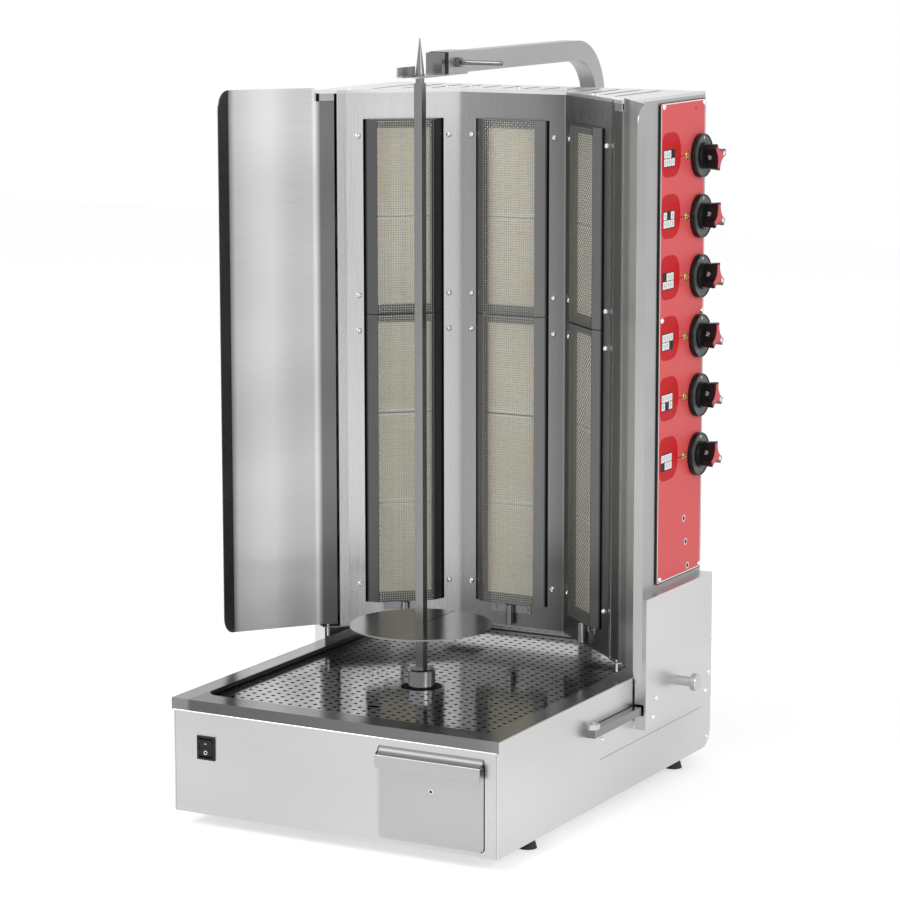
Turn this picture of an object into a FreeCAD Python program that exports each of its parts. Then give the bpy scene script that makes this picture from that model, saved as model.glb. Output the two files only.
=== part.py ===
import FreeCAD, Part
import math
import os

# A gas doner grill: a cabinet with a drip tray and a drawer, a turning spit,
# and a burner tower that slides on two side rails toward the meat.
# Millimetres. Drawn from the middle of the cabinet's front bottom edge:
# X to the right, Y to the rear, Z up. Leaving the script, everything is moved
# so that the whole stands on z = 0 with its plan centred on the origin.

# Cabinet
base_width = 500.0
base_depth = 668.0
base_top = 157.1
base_sheet = 2.0
base_corner = 27.0
front_seam = 0.4
foot_height = 20.0
foot_radius = 13.0
foot_waist = 9.0
foot_cone_height = 14.0
foot_side = 24.0
foot_front = 130.0
foot_rear = 592.0

# Drip tray pressed into the cabinet's lid
tray_sheet = 1.5
tray_lip_drop = 16.1
tray_lip_reach = 2.3
tray_side_reach = 1.7
recess_half_x = 223.0
recess_front = 34.0
recess_rear = 608.0
recess_corner = 22.0
ledge_width = 15.0
ledge_drop = 10.1
basin_depth = 26.0
shaft_collar_height = 8.0
shaft_collar_gap = 3.2
drain_radius = 16.0
drain_length = 9.0

# Perforated plate lying on the tray's ledge
plate_sheet = 1.5
plate_gap = 6.0
plate_hole = 12.0
plate_hole_columns = 13
plate_hole_rows = 18
plate_rows_before_spit = 6
plate_hole_pitch = 30.6
plate_centre_hole = 29.0
finger_slot_length = 19.0
finger_slot_width = 10.0
finger_slot_back = 132.0

# Spit
spit_y = 245.0
spit_bar_side = 12.0
spit_shoulder = 985.0
spit_cone_start = 998.0
spit_tip = 1046.0
spit_tip_radius = 0.6
disc_radius = 99.0
disc_sheet = 2.0
disc_top = 238.5
disc_slit = 2.0
hub_radius = 14.0
hub_height = 12.0
socket_radius = 19.2
socket_bottom = 145.0
socket_top = 176.0
socket_chamfer = 2.0
shaft_radius = 10.0
shaft_bottom = 62.0
running_fit = 0.05
near_gap = 0.3

# Drawer and its finger lip
drawer_centre_x = 150.5
drawer_front_width = 157.0
drawer_front_bottom = 6.0
drawer_front_top = 122.0
drawer_front_sheet = 1.5
drawer_corner = 8.0
drawer_gap = 1.75
drawer_gap_top = 5.0
handle_reach = 11.5
handle_drop = 17.5
drawer_hole_radius = 2.0
drawer_hole_height = 78.5
drawer_length = 320.0
drawer_box_height = 88.0
drawer_box_sheet = 1.2
drawer_side_room = 3.5
runner_sheet = 1.5
runner_height = 42.0
runner_ledge = 13.0
runner_foot = 12.0
runner_ledge_height = 8.0

# Rocker switch
switch_x = -198.0
switch_height = 93.5
switch_width = 28.0
switch_tall = 33.0
bezel_proud = 2.0
bezel_wall = 3.2
switch_body_depth = 24.0
rocker_radius = 13.2
rocker_pivot_depth = 4.5
rocker_edge_reach = 8.5
rocker_dip_reach = 5.3
rocker_rear = 3.3

# Cable entry in the back wall
gland_x = -197.0
gland_z = 78.0
gland_stem_radius = 7.0
gland_stem_length = 9.0
gland_nut_af = 22.0
gland_nut_length = 6.0
gland_cap_radius = 9.8
gland_cap_length = 10.0
gland_bore_radius = 3.5

# Drive
motor_half_x = 42.0
motor_half_y = 48.0
motor_top = 110.0
motor_bottom = 40.0
motor_can_radius = 30.0
motor_can_length = 90.0
motor_corner = 8.0
bracket_foot = 18.0
bracket_sheet = 3.0

# Rear mast carrying the spit's top bearing
arm_width = 25.0
arm_height = 28.8
arm_bottom = 995.3
arm_wall = 2.0
arm_front = 293.0
arm_plug_reach = 9.0
arm_ring_width = 7.0
arm_bend_inner = 60.0
arm_back_room = 90.2
arm_foot = 14.0
clamp_heights = [40.0, 120.0]
clamp_tall = 26.0
clamp_thick = 6.0

# Top bearing plate sliding on the mast
collar_front = 300.0
collar_length = 55.0
collar_wall = 1.2
collar_under = 2.0
fork_front = 209.0
fork_width = 32.0
fork_sheet = 2.0
fork_clearance = 0.6
fork_flange_height = 14.0
fork_flange_length = 48.0

# Locking lever on the collar
lever_back = 25.0
lever_above_arm_bottom = 14.7
lever_radius = 3.2
lever_shank_radius = 3.0
lever_nut_af = 13.0
lever_nut_thick = 6.0
lever_reach = 67.0
lever_bend = 55.0
lever_rise = 7.0

# Tower in plan: points of the right half, the left half is mirrored
tower_bottom = 181.0
tower_top = 957.0
tower_rear = 625.0
tower_sheet = 1.5
centre_fold = (85.0, 514.5)
side_fold = (210.0, 405.0)
edge_strip = (218.5, 393.0)
side_wall_front = 386.0
cover_edge = 4.5
cover_nose = (238.0, 377.5)
cover_slot_count = 13
cover_slot_width = 6.0
cover_slot_pitch = 32.0
cover_slot_front_room = 32.0
cover_slot_rear_room = 24.0
floor_vent_length = 42.0
floor_vent_width = 60.0
rear_vent_count = 8
rear_vent_height = 8.0
rear_vent_pitch = 70.0
rear_vent_width = 260.0

# Burners, three columns of an upper and a lower one
panel_opening = 59.0
burner_bottom = 216.0
burner_joint = 640.0
burner_top = 920.0
burner_flange = 11.0
burner_screw_side = 66.5
hood_reach = 11.0
hood_mouth = 42.0
hood_sheet = 1.2
plenum_half = 50.0
plenum_depth = 34.0
ceramic_half = 39.5
ceramic_thick = 13.0
ceramic_height = 132.0
ceramic_back = 1.0
ceramic_joint = 1.5
mesh_thick = 0.8
mixer_radius = 11.0
mixer_length = 60.0
injector_radius = 5.0
injector_gap = 6.0

# Gas train
manifold_radius = 9.0
manifold_x = 205.0
manifold_y = 604.0
manifold_bottom = 300.0
manifold_top = 930.0
valve_radius = 11.0
valve_seat = 8.1
stem_radius = 3.0
stem_hole_radius = 5.4

# Ignition tube under each column
pilot_radius = 5.5
pilot_bottom = 186.0
pilot_top = 215.0
pilot_plate_half = 32.0
pilot_plate_height = 211.0
pilot_plate_tall = 16.0
pilot_screw_side = 25.6

# Control panel and knobs
panel_front = 471.0
panel_rear = 623.0
panel_bottom = 275.5
panel_top = 952.5
panel_sheet = 1.5
knob_y = 604.0
knob_first = 872.0
knob_pitch = 85.5
knob_count = 6
bezel_radius = 29.5
bezel_thick = 7.0
bezel_rim = 3.0
bezel_dish = 1.5
knob_radius = 18.5
knob_height = 20.0
knob_skirt = 5.0
knob_lobes = 3
lobe_reach = 20.5
lobe_edge = 1.0
scoop_radius = 20.0
scoop_offset = 28.5
first_pointer = 18.0
other_pointer = -22.0
bypass_y = 560.5
bypass_radius = 6.5
bypass_head = 3.5
bypass_slot = 1.2
bypass_rise = 3.2
screw_radius = 3.2
screw_head = 2.2
panel_screw_side = 12.0
panel_screw_edge = 6.0
panel_screw_middle = 650.0
burner_screw_low = 27.6
burner_screw_high = 24.0

# Side covers of the tower with their slide blocks and rails
skirt_outer = 269.0
skirt_front = 405.0
skirt_rear = 627.0
skirt_bottom = 83.0
skirt_top = 269.0
rail_side = 12.0
rail_gap = 2.0
rail_bottom = 105.0
rail_front = 255.0
rail_rear = 624.0
rail_nut_af = 17.0
rail_nut_height = 7.0
rail_slot_room = 2.0
block_length = 26.0
block_front = 421.0
block_rear = 599.0
block_bottom = 91.0
block_top = 128.0
block_screw_side = 7.8
block_screw_edge = 6.0

# Clamp thumb-screw on the right side cover
clamp_y = 514.0
clamp_z = 132.0
clamp_shaft_radius = 7.0
clamp_collar_end = 290.0
clamp_end = 300.0
clamp_head_radius = 12.5
clamp_boss_radius = 12.0
clamp_boss_length = 8.0

# Wings
wing_axis = (233.5, 384.0)
wing_inner = (221.5, 390.3)
wing_bend = (242.5, 374.5)
wing_fold = (324.0, 272.0)
wing_flange = 26.0
wing_sheet = 1.2
wing_bottom = 186.0
wing_top = 965.0
wing_notch = 946.0
wing_pin_radius = 2.0
wing_pin_hang = 13.0
wing_pin_length = 34.0
wing_ear_radius = 7.0
wing_ear_sheet = 1.5

# Values that follow from the ones above
half_width = base_width / 2
arm_top = arm_bottom + arm_height
lever_height = arm_bottom + lever_above_arm_bottom
arm_rear = base_depth + arm_back_room + arm_height
tray_top = base_top + tray_sheet
recess_half_y = (recess_rear - recess_front) / 2
recess_middle = (recess_front + recess_rear) / 2
ledge_top = tray_top - ledge_drop
plate_top = ledge_top + plate_sheet
basin_top = tray_top - basin_depth
rail_inner = half_width + rail_gap
rail_top = rail_bottom + rail_side
frame_shift_y = (handle_reach - arm_rear) / 2


def vec(x, y, z):
    return FreeCAD.Vector(x, y, z)


def box(x_low, x_high, y_low, y_high, z_low, z_high):
    size = vec(x_high - x_low, y_high - y_low, z_high - z_low)
    return Part.makeBox(size.x, size.y, size.z, vec(x_low, y_low, z_low))


def rod(radius, start, end):
    along = end - start
    return Part.makeCylinder(radius, along.Length, start, along)


def prism(points, height):
    corners = points + [points[0]]
    return Part.Face(Part.makePolygon(corners)).extrude(height)


def plan_prism(points, z_low, z_high):
    corners = [vec(x, y, z_low) for x, y in points]
    return prism(corners, vec(0, 0, z_high - z_low))


def side_prism(points, x_low, x_high):
    corners = [vec(x_low, y, z) for y, z in points]
    return prism(corners, vec(x_high - x_low, 0, 0))


def hexagon(across_flats, height, centre, axis):
    """Hexagonal bar standing on centre along axis."""
    radius = across_flats / math.sqrt(3)
    points = []
    for step in range(6):
        angle = math.radians(60 * step + 30)
        points.append(vec(radius * math.cos(angle), radius * math.sin(angle), 0))
    bar = prism(points, vec(0, 0, height))
    bar.Placement = FreeCAD.Placement(centre, FreeCAD.Rotation(vec(0, 0, 1), axis))
    return bar


def rounded_slab(half_x, half_y, corner, centre_y, z_low, z_high):
    """Plate with four rounded upright edges, centred on x = 0."""
    slab = box(-half_x, half_x, centre_y - half_y, centre_y + half_y, z_low, z_high)
    return slab.makeFillet(corner, upright_edges(slab))


def upright_edges(shape):
    return [edge for edge in shape.Edges if edge.BoundBox.ZLength > edge.Length / 2]


def mirrored(shape):
    return shape.mirror(vec(0, 0, 0), vec(1, 0, 0))


def group(shapes):
    return Part.makeCompound(shapes)


def offset_line(points, distance):
    """Open line moved sideways, to the left of its run for a positive distance."""
    normals = []
    for start, end in zip(points, points[1:]):
        run = (end[0] - start[0], end[1] - start[1])
        length = math.hypot(run[0], run[1])
        normals.append((-run[1] / length, run[0] / length))
    moved = []
    for index, point in enumerate(points):
        before = normals[max(index - 1, 0)]
        after = normals[min(index, len(normals) - 1)]
        scale = distance / (1 + before[0] * after[0] + before[1] * after[1])
        moved.append((point[0] + scale * (before[0] + after[0]),
                      point[1] + scale * (before[1] + after[1])))
    return moved


def folded_sheet(points, sheet, z_low, z_high):
    """Upright sheet of one thickness folded along a line in plan."""
    outline = points + offset_line(points, sheet)[::-1]
    return plan_prism(outline, z_low, z_high)


def folded_section(points, sheet, x_low, x_high):
    """Sheet folded along a line in side view (y, z) and running along X."""
    outline = points + offset_line(points, sheet)[::-1]
    return side_prism(outline, x_low, x_high)


def save(name, shape):
    moved = shape.copy()
    moved.translate(vec(0, frame_shift_y, foot_height))
    moved.exportStep("parts/" + name + ".step")


# Cabinet walls: two flat sides, one sheet bent up from floor to back, a front


def side_outline(inset):
    """Side view of the cabinet with its rounded lower rear corner."""
    rear = base_depth - inset
    corner = base_corner - inset
    centre = vec(0, base_depth - base_corner, base_corner)
    points = [(inset, inset), (centre.y, inset)]
    steps = 8
    for step in range(1, steps):
        angle = math.radians(90 * step / steps - 90)
        points.append((centre.y + corner * math.cos(angle), centre.z + corner * math.sin(angle)))
    points.append((rear, centre.z))
    points.append((rear, base_top))
    return points


def make_side_panel():
    outline = side_outline(0) + [(0, base_top)]
    return side_prism(outline, half_width - base_sheet, half_width)


def make_base_wrap():
    outer = side_outline(0)
    outer[0] = (base_sheet, 0)
    inner = side_outline(base_sheet)
    wrap = side_prism(outer + inner[::-1], base_sheet - half_width, half_width - base_sheet)
    return wrap.cut(gland_rod(gland_stem_radius, -base_sheet - 1, 1))


def switch_box(half_x, half_z, y_low, y_high):
    return box(switch_x - half_x, switch_x + half_x, y_low, y_high,
               switch_height - half_z, switch_height + half_z)


def make_front_panel():
    edge = half_width - base_sheet - front_seam
    panel = box(-edge, edge, 0, base_sheet, 0, base_top)
    half_opening = drawer_front_width / 2 + drawer_gap
    opening = box(drawer_centre_x - half_opening, drawer_centre_x + half_opening,
                  -1, base_sheet + 1, drawer_front_bottom - drawer_gap,
                  drawer_front_top + drawer_gap_top)
    lower = [edge for edge in opening.Edges
             if edge.BoundBox.ZMax < drawer_front_bottom and edge.BoundBox.YLength > base_sheet]
    opening = opening.makeFillet(drawer_corner, lower)
    window = switch_box(switch_width / 2 - bezel_wall / 2, switch_tall / 2 - bezel_wall / 2,
                        -1, base_sheet + 1)
    return panel.cut(opening).cut(window)


def make_feet():
    feet = []
    for x in (foot_side - half_width, half_width - foot_side):
        for y in (foot_front, foot_rear):
            lower = Part.makeCone(foot_radius, foot_waist, foot_cone_height,
                                  vec(x, y, -foot_height))
            upper = rod(foot_waist, vec(x, y, foot_cone_height - foot_height), vec(x, y, 0))
            feet.append(lower.fuse(upper))
    return group(feet)


# Drip tray


def tray_section(shrink, drop):
    """Solid filling the pressed hollow, smaller by one sheet on the inside."""
    step = rounded_slab(recess_half_x - shrink, recess_half_y - shrink, recess_corner - shrink,
                        recess_middle, ledge_top - drop, tray_top + 1)
    deep = rounded_slab(recess_half_x - ledge_width - shrink, recess_half_y - ledge_width - shrink,
                        recess_corner - ledge_width / 2, recess_middle, basin_top - drop, tray_top + 1)
    return step.fuse(deep)


def make_drip_tray():
    side = half_width + tray_side_reach
    lid = box(-side, side, -tray_lip_reach, base_depth, base_top, tray_top)
    lip = box(-side, side, -tray_lip_reach, tray_sheet - tray_lip_reach,
              tray_top - tray_lip_drop, base_top)
    hollow = tray_section(0, 0)
    pressed = tray_section(-tray_sheet, tray_sheet)
    pressed = pressed.common(box(-side, side, 0, base_depth, 0, tray_top))
    tray = lid.fuse(lip).fuse(pressed).cut(hollow)
    inner = shaft_radius + shaft_collar_gap
    collar = rod(inner + tray_sheet, vec(0, spit_y, basin_top - tray_sheet),
                 vec(0, spit_y, basin_top + shaft_collar_height))
    spout = rod(drain_radius, vec(drawer_centre_x, spit_y, basin_top - drain_length),
                vec(drawer_centre_x, spit_y, basin_top))
    tray = tray.fuse(collar).fuse(spout)
    bore = rod(inner, vec(0, spit_y, basin_top - drain_length), vec(0, spit_y, tray_top))
    drain = rod(drain_radius - tray_sheet, vec(drawer_centre_x, spit_y, basin_top - drain_length - 1),
                vec(drawer_centre_x, spit_y, basin_top + 1))
    return tray.cut(bore).cut(drain)


def make_perforated_plate():
    half_x = recess_half_x - plate_gap
    half_y = recess_half_y - plate_gap
    plate = rounded_slab(half_x, half_y, recess_corner - plate_gap, recess_middle,
                         ledge_top, plate_top)
    holes = [rod(plate_centre_hole, vec(0, spit_y, ledge_top - 1), vec(0, spit_y, plate_top + 1))]
    slot_y = spit_y - finger_slot_back
    slot_half = finger_slot_width / 2
    run = finger_slot_length / 2 - slot_half
    for x in (-run, run):
        holes.append(rod(slot_half, vec(x, slot_y, ledge_top - 1), vec(x, slot_y, plate_top + 1)))
    holes.append(box(-run, run, slot_y - slot_half, slot_y + slot_half,
                     ledge_top - 1, plate_top + 1))
    half = plate_hole / 2
    keep_out = plate_centre_hole + plate_hole
    for column in range(plate_hole_columns):
        x = (column - (plate_hole_columns - 1) / 2) * plate_hole_pitch
        for row in range(plate_hole_rows):
            y = spit_y + (row - plate_rows_before_spit) * plate_hole_pitch
            near_slot = abs(x) < plate_hole + run and abs(y - slot_y) < plate_hole
            if math.hypot(x, y - spit_y) > keep_out and not near_slot:
                holes.append(box(x - half, x + half, y - half, y + half,
                                 ledge_top - 1, plate_top + 1))
    return plate.cut(group(holes))


# Spit with its drive


def make_drive_socket():
    socket = rod(socket_radius, vec(0, spit_y, socket_bottom), vec(0, spit_y, socket_top))
    rims = [edge for edge in socket.Edges if len(edge.Vertexes) == 1]
    socket = socket.makeChamfer(socket_chamfer, rims)
    shaft = rod(shaft_radius, vec(0, spit_y, shaft_bottom), vec(0, spit_y, socket_bottom))
    half = spit_bar_side / 2
    square = box(-half, half, spit_y - half, spit_y + half, bar_bottom(), socket_top + 1)
    return socket.fuse(shaft).cut(square)


def bar_bottom():
    return socket_bottom + socket_chamfer


def make_spit_bar():
    half = spit_bar_side / 2
    bar = box(-half, half, spit_y - half, spit_y + half, bar_bottom(), spit_shoulder)
    neck = rod(half, vec(0, spit_y, spit_shoulder), vec(0, spit_y, spit_cone_start))
    cone = Part.makeCone(half, spit_tip_radius, spit_tip - spit_cone_start,
                         vec(0, spit_y, spit_cone_start))
    return bar.fuse(neck).fuse(cone)


def make_meat_disc():
    disc = rod(disc_radius, vec(0, spit_y, disc_top - disc_sheet), vec(0, spit_y, disc_top))
    hub = rod(hub_radius, vec(0, spit_y, disc_top - hub_height), vec(0, spit_y, disc_top))
    half = spit_bar_side / 2
    square = box(-half, half, spit_y - half, spit_y + half, 0, spit_tip)
    slit = box(-disc_slit / 2, disc_slit / 2, spit_y + hub_radius, spit_y + disc_radius + 1, 0, spit_tip)
    return disc.cut(slit).fuse(hub).cut(square)


def make_gear_motor():
    gearbox = box(-motor_half_x, motor_half_x, spit_y - motor_half_y, spit_y + motor_half_y,
                  motor_bottom, motor_top)
    gearbox = gearbox.makeFillet(motor_corner, upright_edges(gearbox))
    can_z = (motor_top + motor_bottom) / 2
    can = rod(motor_can_radius, vec(0, spit_y + motor_half_y, can_z),
              vec(0, spit_y + motor_half_y + motor_can_length, can_z))
    bore = rod(shaft_radius + running_fit, vec(0, spit_y, shaft_bottom - near_gap),
               vec(0, spit_y, motor_top + 1))
    return gearbox.fuse(can).cut(bore)


def make_motor_bracket():
    """Bridge standing on the cabinet's floor under the gearbox."""
    foot = motor_half_x + bracket_foot
    side = motor_half_x - bracket_sheet
    points = [(-foot, base_sheet), (-side, base_sheet), (-side, motor_bottom - bracket_sheet),
              (side, motor_bottom - bracket_sheet), (side, base_sheet), (foot, base_sheet)]
    outline = points + offset_line(points, bracket_sheet)[::-1]
    corners = [vec(x, spit_y - motor_half_y, z) for x, z in outline]
    return prism(corners, vec(0, 2 * motor_half_y, 0))


# Drawer


def make_drawer_front():
    half = drawer_front_width / 2
    left = drawer_centre_x - half
    right = drawer_centre_x + half
    plate = box(left, right, 0, drawer_front_sheet, drawer_front_bottom, drawer_front_top)
    lower = [edge for edge in plate.Edges
             if edge.BoundBox.ZMax < drawer_front_bottom + 1
             and edge.BoundBox.YLength > drawer_front_sheet / 2]
    plate = plate.makeFillet(drawer_corner, lower)
    lip = [(drawer_front_sheet, drawer_front_top), (-handle_reach, drawer_front_top),
           (-handle_reach, drawer_front_top - handle_drop)]
    handle = folded_section(lip, drawer_front_sheet, left, right)
    front = plate.fuse(handle)
    near = tray_sheet / 10
    rim = [edge for edge in front.Edges
           if abs(edge.BoundBox.YMin + handle_reach) < near and edge.BoundBox.YLength < near
           and edge.BoundBox.ZLength < near and edge.BoundBox.ZMin > drawer_front_top - 1]
    front = front.makeFillet(drawer_front_sheet, rim)
    hole = rod(drawer_hole_radius, vec(drawer_centre_x, -1, drawer_hole_height),
               vec(drawer_centre_x, drawer_front_sheet + 1, drawer_hole_height))
    return front.cut(hole)


def drawer_box_half():
    return drawer_front_width / 2 - drawer_side_room


def drawer_box_bottom():
    return runner_ledge_height + runner_sheet + near_gap


def make_drawer_box():
    half = drawer_box_half()
    left = drawer_centre_x - half
    right = drawer_centre_x + half
    low = drawer_box_bottom()
    high = low + drawer_box_height
    body = box(left, right, drawer_front_sheet, drawer_length, low, high)
    hollow = box(left + drawer_box_sheet, right - drawer_box_sheet,
                 drawer_front_sheet + drawer_box_sheet, drawer_length - drawer_box_sheet,
                 low + drawer_box_sheet, high + 1)
    return body.cut(hollow)


def make_drawer_runners():
    """Pair of Z-shaped rails: foot on the floor, ledge under the box edge."""
    runners = []
    for side in (-1, 1):
        web = drawer_box_half() + near_gap * 2
        low = base_sheet
        ledge = runner_ledge_height
        inner = web - runner_ledge
        outer = web + runner_sheet
        foot = outer + runner_foot
        outline = [(inner, ledge), (web, ledge), (web, low), (foot, low),
                   (foot, low + runner_sheet), (outer, low + runner_sheet),
                   (outer, runner_height), (web, runner_height),
                   (web, ledge + runner_sheet), (inner, ledge + runner_sheet)]
        corners = [vec(drawer_centre_x + side * x, base_sheet, z) for x, z in outline]
        runners.append(prism(corners, vec(0, drawer_length, 0)))
    return group(runners)


# Rocker switch


def make_switch_bezel():
    half_x = switch_width / 2
    half_z = switch_tall / 2
    collar = switch_box(half_x, half_z, -bezel_proud, 0)
    body = switch_box(half_x - bezel_wall / 2, half_z - bezel_wall / 2, 0, switch_body_depth)
    well = switch_box(half_x - bezel_wall, rocker_radius + near_gap, -bezel_proud - 1,
                      rocker_pivot_depth + rocker_radius + near_gap)
    return collar.fuse(body).cut(well)


def make_switch_rocker():
    """Round-backed rocker with a hollow front, turning about a level axis."""
    half_x = switch_width / 2 - bezel_wall - near_gap
    drum = rod(rocker_radius, vec(switch_x - half_x, rocker_pivot_depth, switch_height),
               vec(switch_x + half_x, rocker_pivot_depth, switch_height))
    low = switch_height - rocker_radius
    high = switch_height + rocker_radius
    rear = rocker_pivot_depth + rocker_rear
    outline = [(rear, low), (rear, high), (rocker_pivot_depth - rocker_edge_reach, high),
               (rocker_pivot_depth - rocker_dip_reach, switch_height),
               (rocker_pivot_depth - rocker_edge_reach, low)]
    return drum.common(side_prism(outline, switch_x - half_x, switch_x + half_x))


def gland_rod(radius, start, end):
    return rod(radius, vec(gland_x, base_depth + start, gland_z), vec(gland_x, base_depth + end, gland_z))


def make_cable_gland():
    """Threaded cable entry with its hexagonal nut on the back wall."""
    nut = hexagon(gland_nut_af, gland_nut_length, vec(gland_x, base_depth, gland_z), vec(0, 1, 0))
    cap = gland_rod(gland_cap_radius, gland_nut_length, gland_nut_length + gland_cap_length)
    stem = gland_rod(gland_stem_radius, -gland_stem_length, 0)
    bore = gland_rod(gland_bore_radius, -gland_stem_length - 1,
                     gland_nut_length + gland_cap_length + 1)
    return nut.fuse(cap).fuse(stem).cut(bore)


# Mast behind the cabinet, bent over to the spit


def mast_section(grow):
    """Solid bar along the mast's path, larger by grow on every face."""
    half = arm_width / 2 + grow
    low = arm_bottom - grow
    high = arm_top + grow
    bend_y = arm_rear - arm_bend_inner - arm_height
    bend_z = arm_bottom - arm_bend_inner
    level = box(-half, half, arm_front, bend_y, low, high)
    leg = box(-half, half, arm_rear - arm_height - grow, arm_rear + grow, arm_foot, bend_z)
    centre = vec(-half, bend_y, bend_z)
    outer = Part.makeCylinder(arm_bend_inner + arm_height + grow, 2 * half, centre, vec(1, 0, 0), 360)
    inner = Part.makeCylinder(arm_bend_inner - grow, 2 * half, centre, vec(1, 0, 0), 360)
    reach = arm_bend_inner + arm_height * 2
    quarter = box(-half, half, bend_y, bend_y + reach, bend_z, bend_z + reach)
    return level.fuse(leg).fuse(outer.cut(inner).common(quarter))


def make_arm_tube():
    return mast_section(0).cut(mast_section(-arm_wall))


def make_arm_end_block():
    half = arm_width / 2
    cap = box(-half, half, arm_front - arm_plug_reach, arm_front, arm_bottom, arm_top)
    inner = half - arm_wall
    plug = box(-inner, inner, arm_front, arm_front + arm_wall * 5,
               arm_bottom + arm_wall, arm_top - arm_wall)
    return cap.fuse(plug)


def make_arm_stop_ring():
    """Black band over the mast in front of the sliding collar, open below."""
    half = arm_width / 2
    grow = collar_wall / 2
    outer = box(-half - grow, half + grow, arm_front, arm_front + arm_ring_width - near_gap,
                arm_bottom, arm_top + grow)
    core = box(-half, half, arm_front - 1, arm_front + arm_ring_width + 1, arm_bottom, arm_top)
    return outer.cut(core)


def make_arm_brackets():
    """Two spacer blocks with side cheeks that hold the mast behind the back wall."""
    half = arm_width / 2
    brackets = []
    for height in clamp_heights:
        low = height
        high = height + clamp_tall
        spacer = box(-half, half, base_depth, arm_rear - arm_height, low, high)
        bore = box(-half + clamp_thick, half - clamp_thick, base_depth + clamp_thick,
                   arm_rear - arm_height - clamp_thick, low - 1, high + 1)
        plate = box(-half * 3, half * 3, base_depth, base_depth + clamp_thick, low, high)
        cheeks = box(-half - clamp_thick, half + clamp_thick,
                     arm_rear - arm_height - clamp_tall, arm_rear - arm_height / 4, low, high)
        slot = box(-half, half, arm_rear - arm_height - clamp_tall - 1, arm_rear, low - 1, high + 1)
        brackets.append(spacer.cut(bore).fuse(plate).fuse(cheeks.cut(slot)))
    return group(brackets)


def make_spit_retainer():
    """Box collar sliding on the mast with a slotted plate around the spit's neck."""
    half = arm_width / 2 + near_gap
    low = arm_bottom - near_gap
    high = arm_top + near_gap
    rear = collar_front + collar_length
    outer = box(-half - collar_wall, half + collar_wall, collar_front, rear,
                low - collar_under, high + collar_wall)
    core = box(-half, half, collar_front - 1, rear + 1, low, high)
    collar = outer.cut(core)
    fork_half = fork_width / 2
    plate_low = low - collar_under
    fork = box(-fork_half, fork_half, fork_front, collar_front + collar_wall,
               plate_low, plate_low + fork_sheet)
    flange = box(-fork_half, -fork_half + fork_sheet, fork_front, fork_front + fork_flange_length,
                 plate_low, plate_low + fork_flange_height)
    throat = spit_bar_side / 2 + fork_clearance
    y = collar_front + lever_back
    screw_hole = rod(lever_shank_radius + running_fit, vec(0, y, lever_height),
                     vec(half + collar_wall + 1, y, lever_height))
    mouth = box(-throat, throat, fork_front - 1, spit_y + throat,
                plate_low - 1, plate_low + fork_sheet + 1)
    return collar.fuse(fork).fuse(flange).cut(mouth).cut(screw_hole)


def make_lock_lever():
    """Bolt head with a cranked rod beside the collar."""
    face = arm_width / 2 + near_gap + collar_wall
    y = collar_front + lever_back
    nut = hexagon(lever_nut_af, lever_nut_thick, vec(face + near_gap, y, lever_height), vec(1, 0, 0))
    elbow = vec(face + lever_reach, y, lever_height)
    tip = elbow + vec(0, lever_bend, lever_rise)
    rod_out = rod(lever_radius, vec(face + near_gap, y, lever_height), elbow)
    knuckle = Part.makeSphere(lever_radius, elbow)
    crank = rod(lever_radius, elbow, tip)
    end = Part.makeSphere(lever_radius, tip)
    shank = rod(lever_shank_radius, vec(arm_width / 2 + running_fit * 2, y, lever_height),
                vec(face + lever_nut_thick, y, lever_height))
    return nut.fuse(shank).fuse(rod_out).fuse(knuckle).fuse(crank).fuse(end)


# Tower body


def half_front_line():
    """Front line of the burner sheet in plan, from the centre fold to its edge."""
    return [centre_fold, side_fold, edge_strip]


def mirror_points(points):
    return [(-x, y) for x, y in points[::-1]]


def make_burner_front():
    line = mirror_points(half_front_line()) + half_front_line()
    sheet = folded_sheet(line, tower_sheet, tower_bottom + tower_sheet, tower_top)
    openings = []
    for column in (-1, 0, 1):
        opening = box(-panel_opening, panel_opening, -tower_sheet * 4, tower_sheet * 4,
                      burner_bottom, burner_top)
        openings.append(on_panel(opening, column))
    return sheet.cut(group(openings))


def on_panel(shape, column):
    """Moves a piece drawn at x = 0, y = 0 onto a burner column of the front."""
    placed = shape.copy()
    if column == 0:
        placed.translate(vec(0, centre_fold[1], 0))
        return placed
    middle_x = (centre_fold[0] + side_fold[0]) / 2
    middle_y = (centre_fold[1] + side_fold[1]) / 2
    slope = math.degrees(math.atan2(side_fold[1] - centre_fold[1], side_fold[0] - centre_fold[0]))
    placed.rotate(vec(0, 0, 0), vec(0, 0, 1), slope)
    placed.translate(vec(middle_x, middle_y, 0))
    if column < 0:
        placed = mirrored(placed)
    return placed


def make_tower_shell():
    """Side walls and back wall folded from one sheet, with vents in the back."""
    line = [(half_width, side_wall_front), (half_width, tower_rear),
            (-half_width, tower_rear), (-half_width, side_wall_front)]
    shell = folded_sheet(line, tower_sheet, tower_bottom + tower_sheet, tower_top)
    cuts = []
    for index in range(rear_vent_count):
        low = tower_bottom + rear_vent_pitch + index * rear_vent_pitch
        cuts.append(box(-rear_vent_width / 2, rear_vent_width / 2, tower_rear - tower_sheet * 2,
                        tower_rear + 1, low, low + rear_vent_height))
    for index in range(knob_count):
        cuts.append(stem_hole(index))
    return shell.cut(group(cuts))


def knob_height_at(index):
    return knob_first - index * knob_pitch


def stem_hole(index):
    z = knob_height_at(index)
    return rod(stem_hole_radius, vec(half_width - tower_sheet * 2, knob_y, z),
               vec(knob_face() + bezel_thick + 1, knob_y, z))


def cover_outline():
    right = [centre_fold, side_fold, edge_strip, cover_nose, (half_width, side_wall_front),
             (half_width, tower_rear)]
    return right + mirror_points(right)


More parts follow.
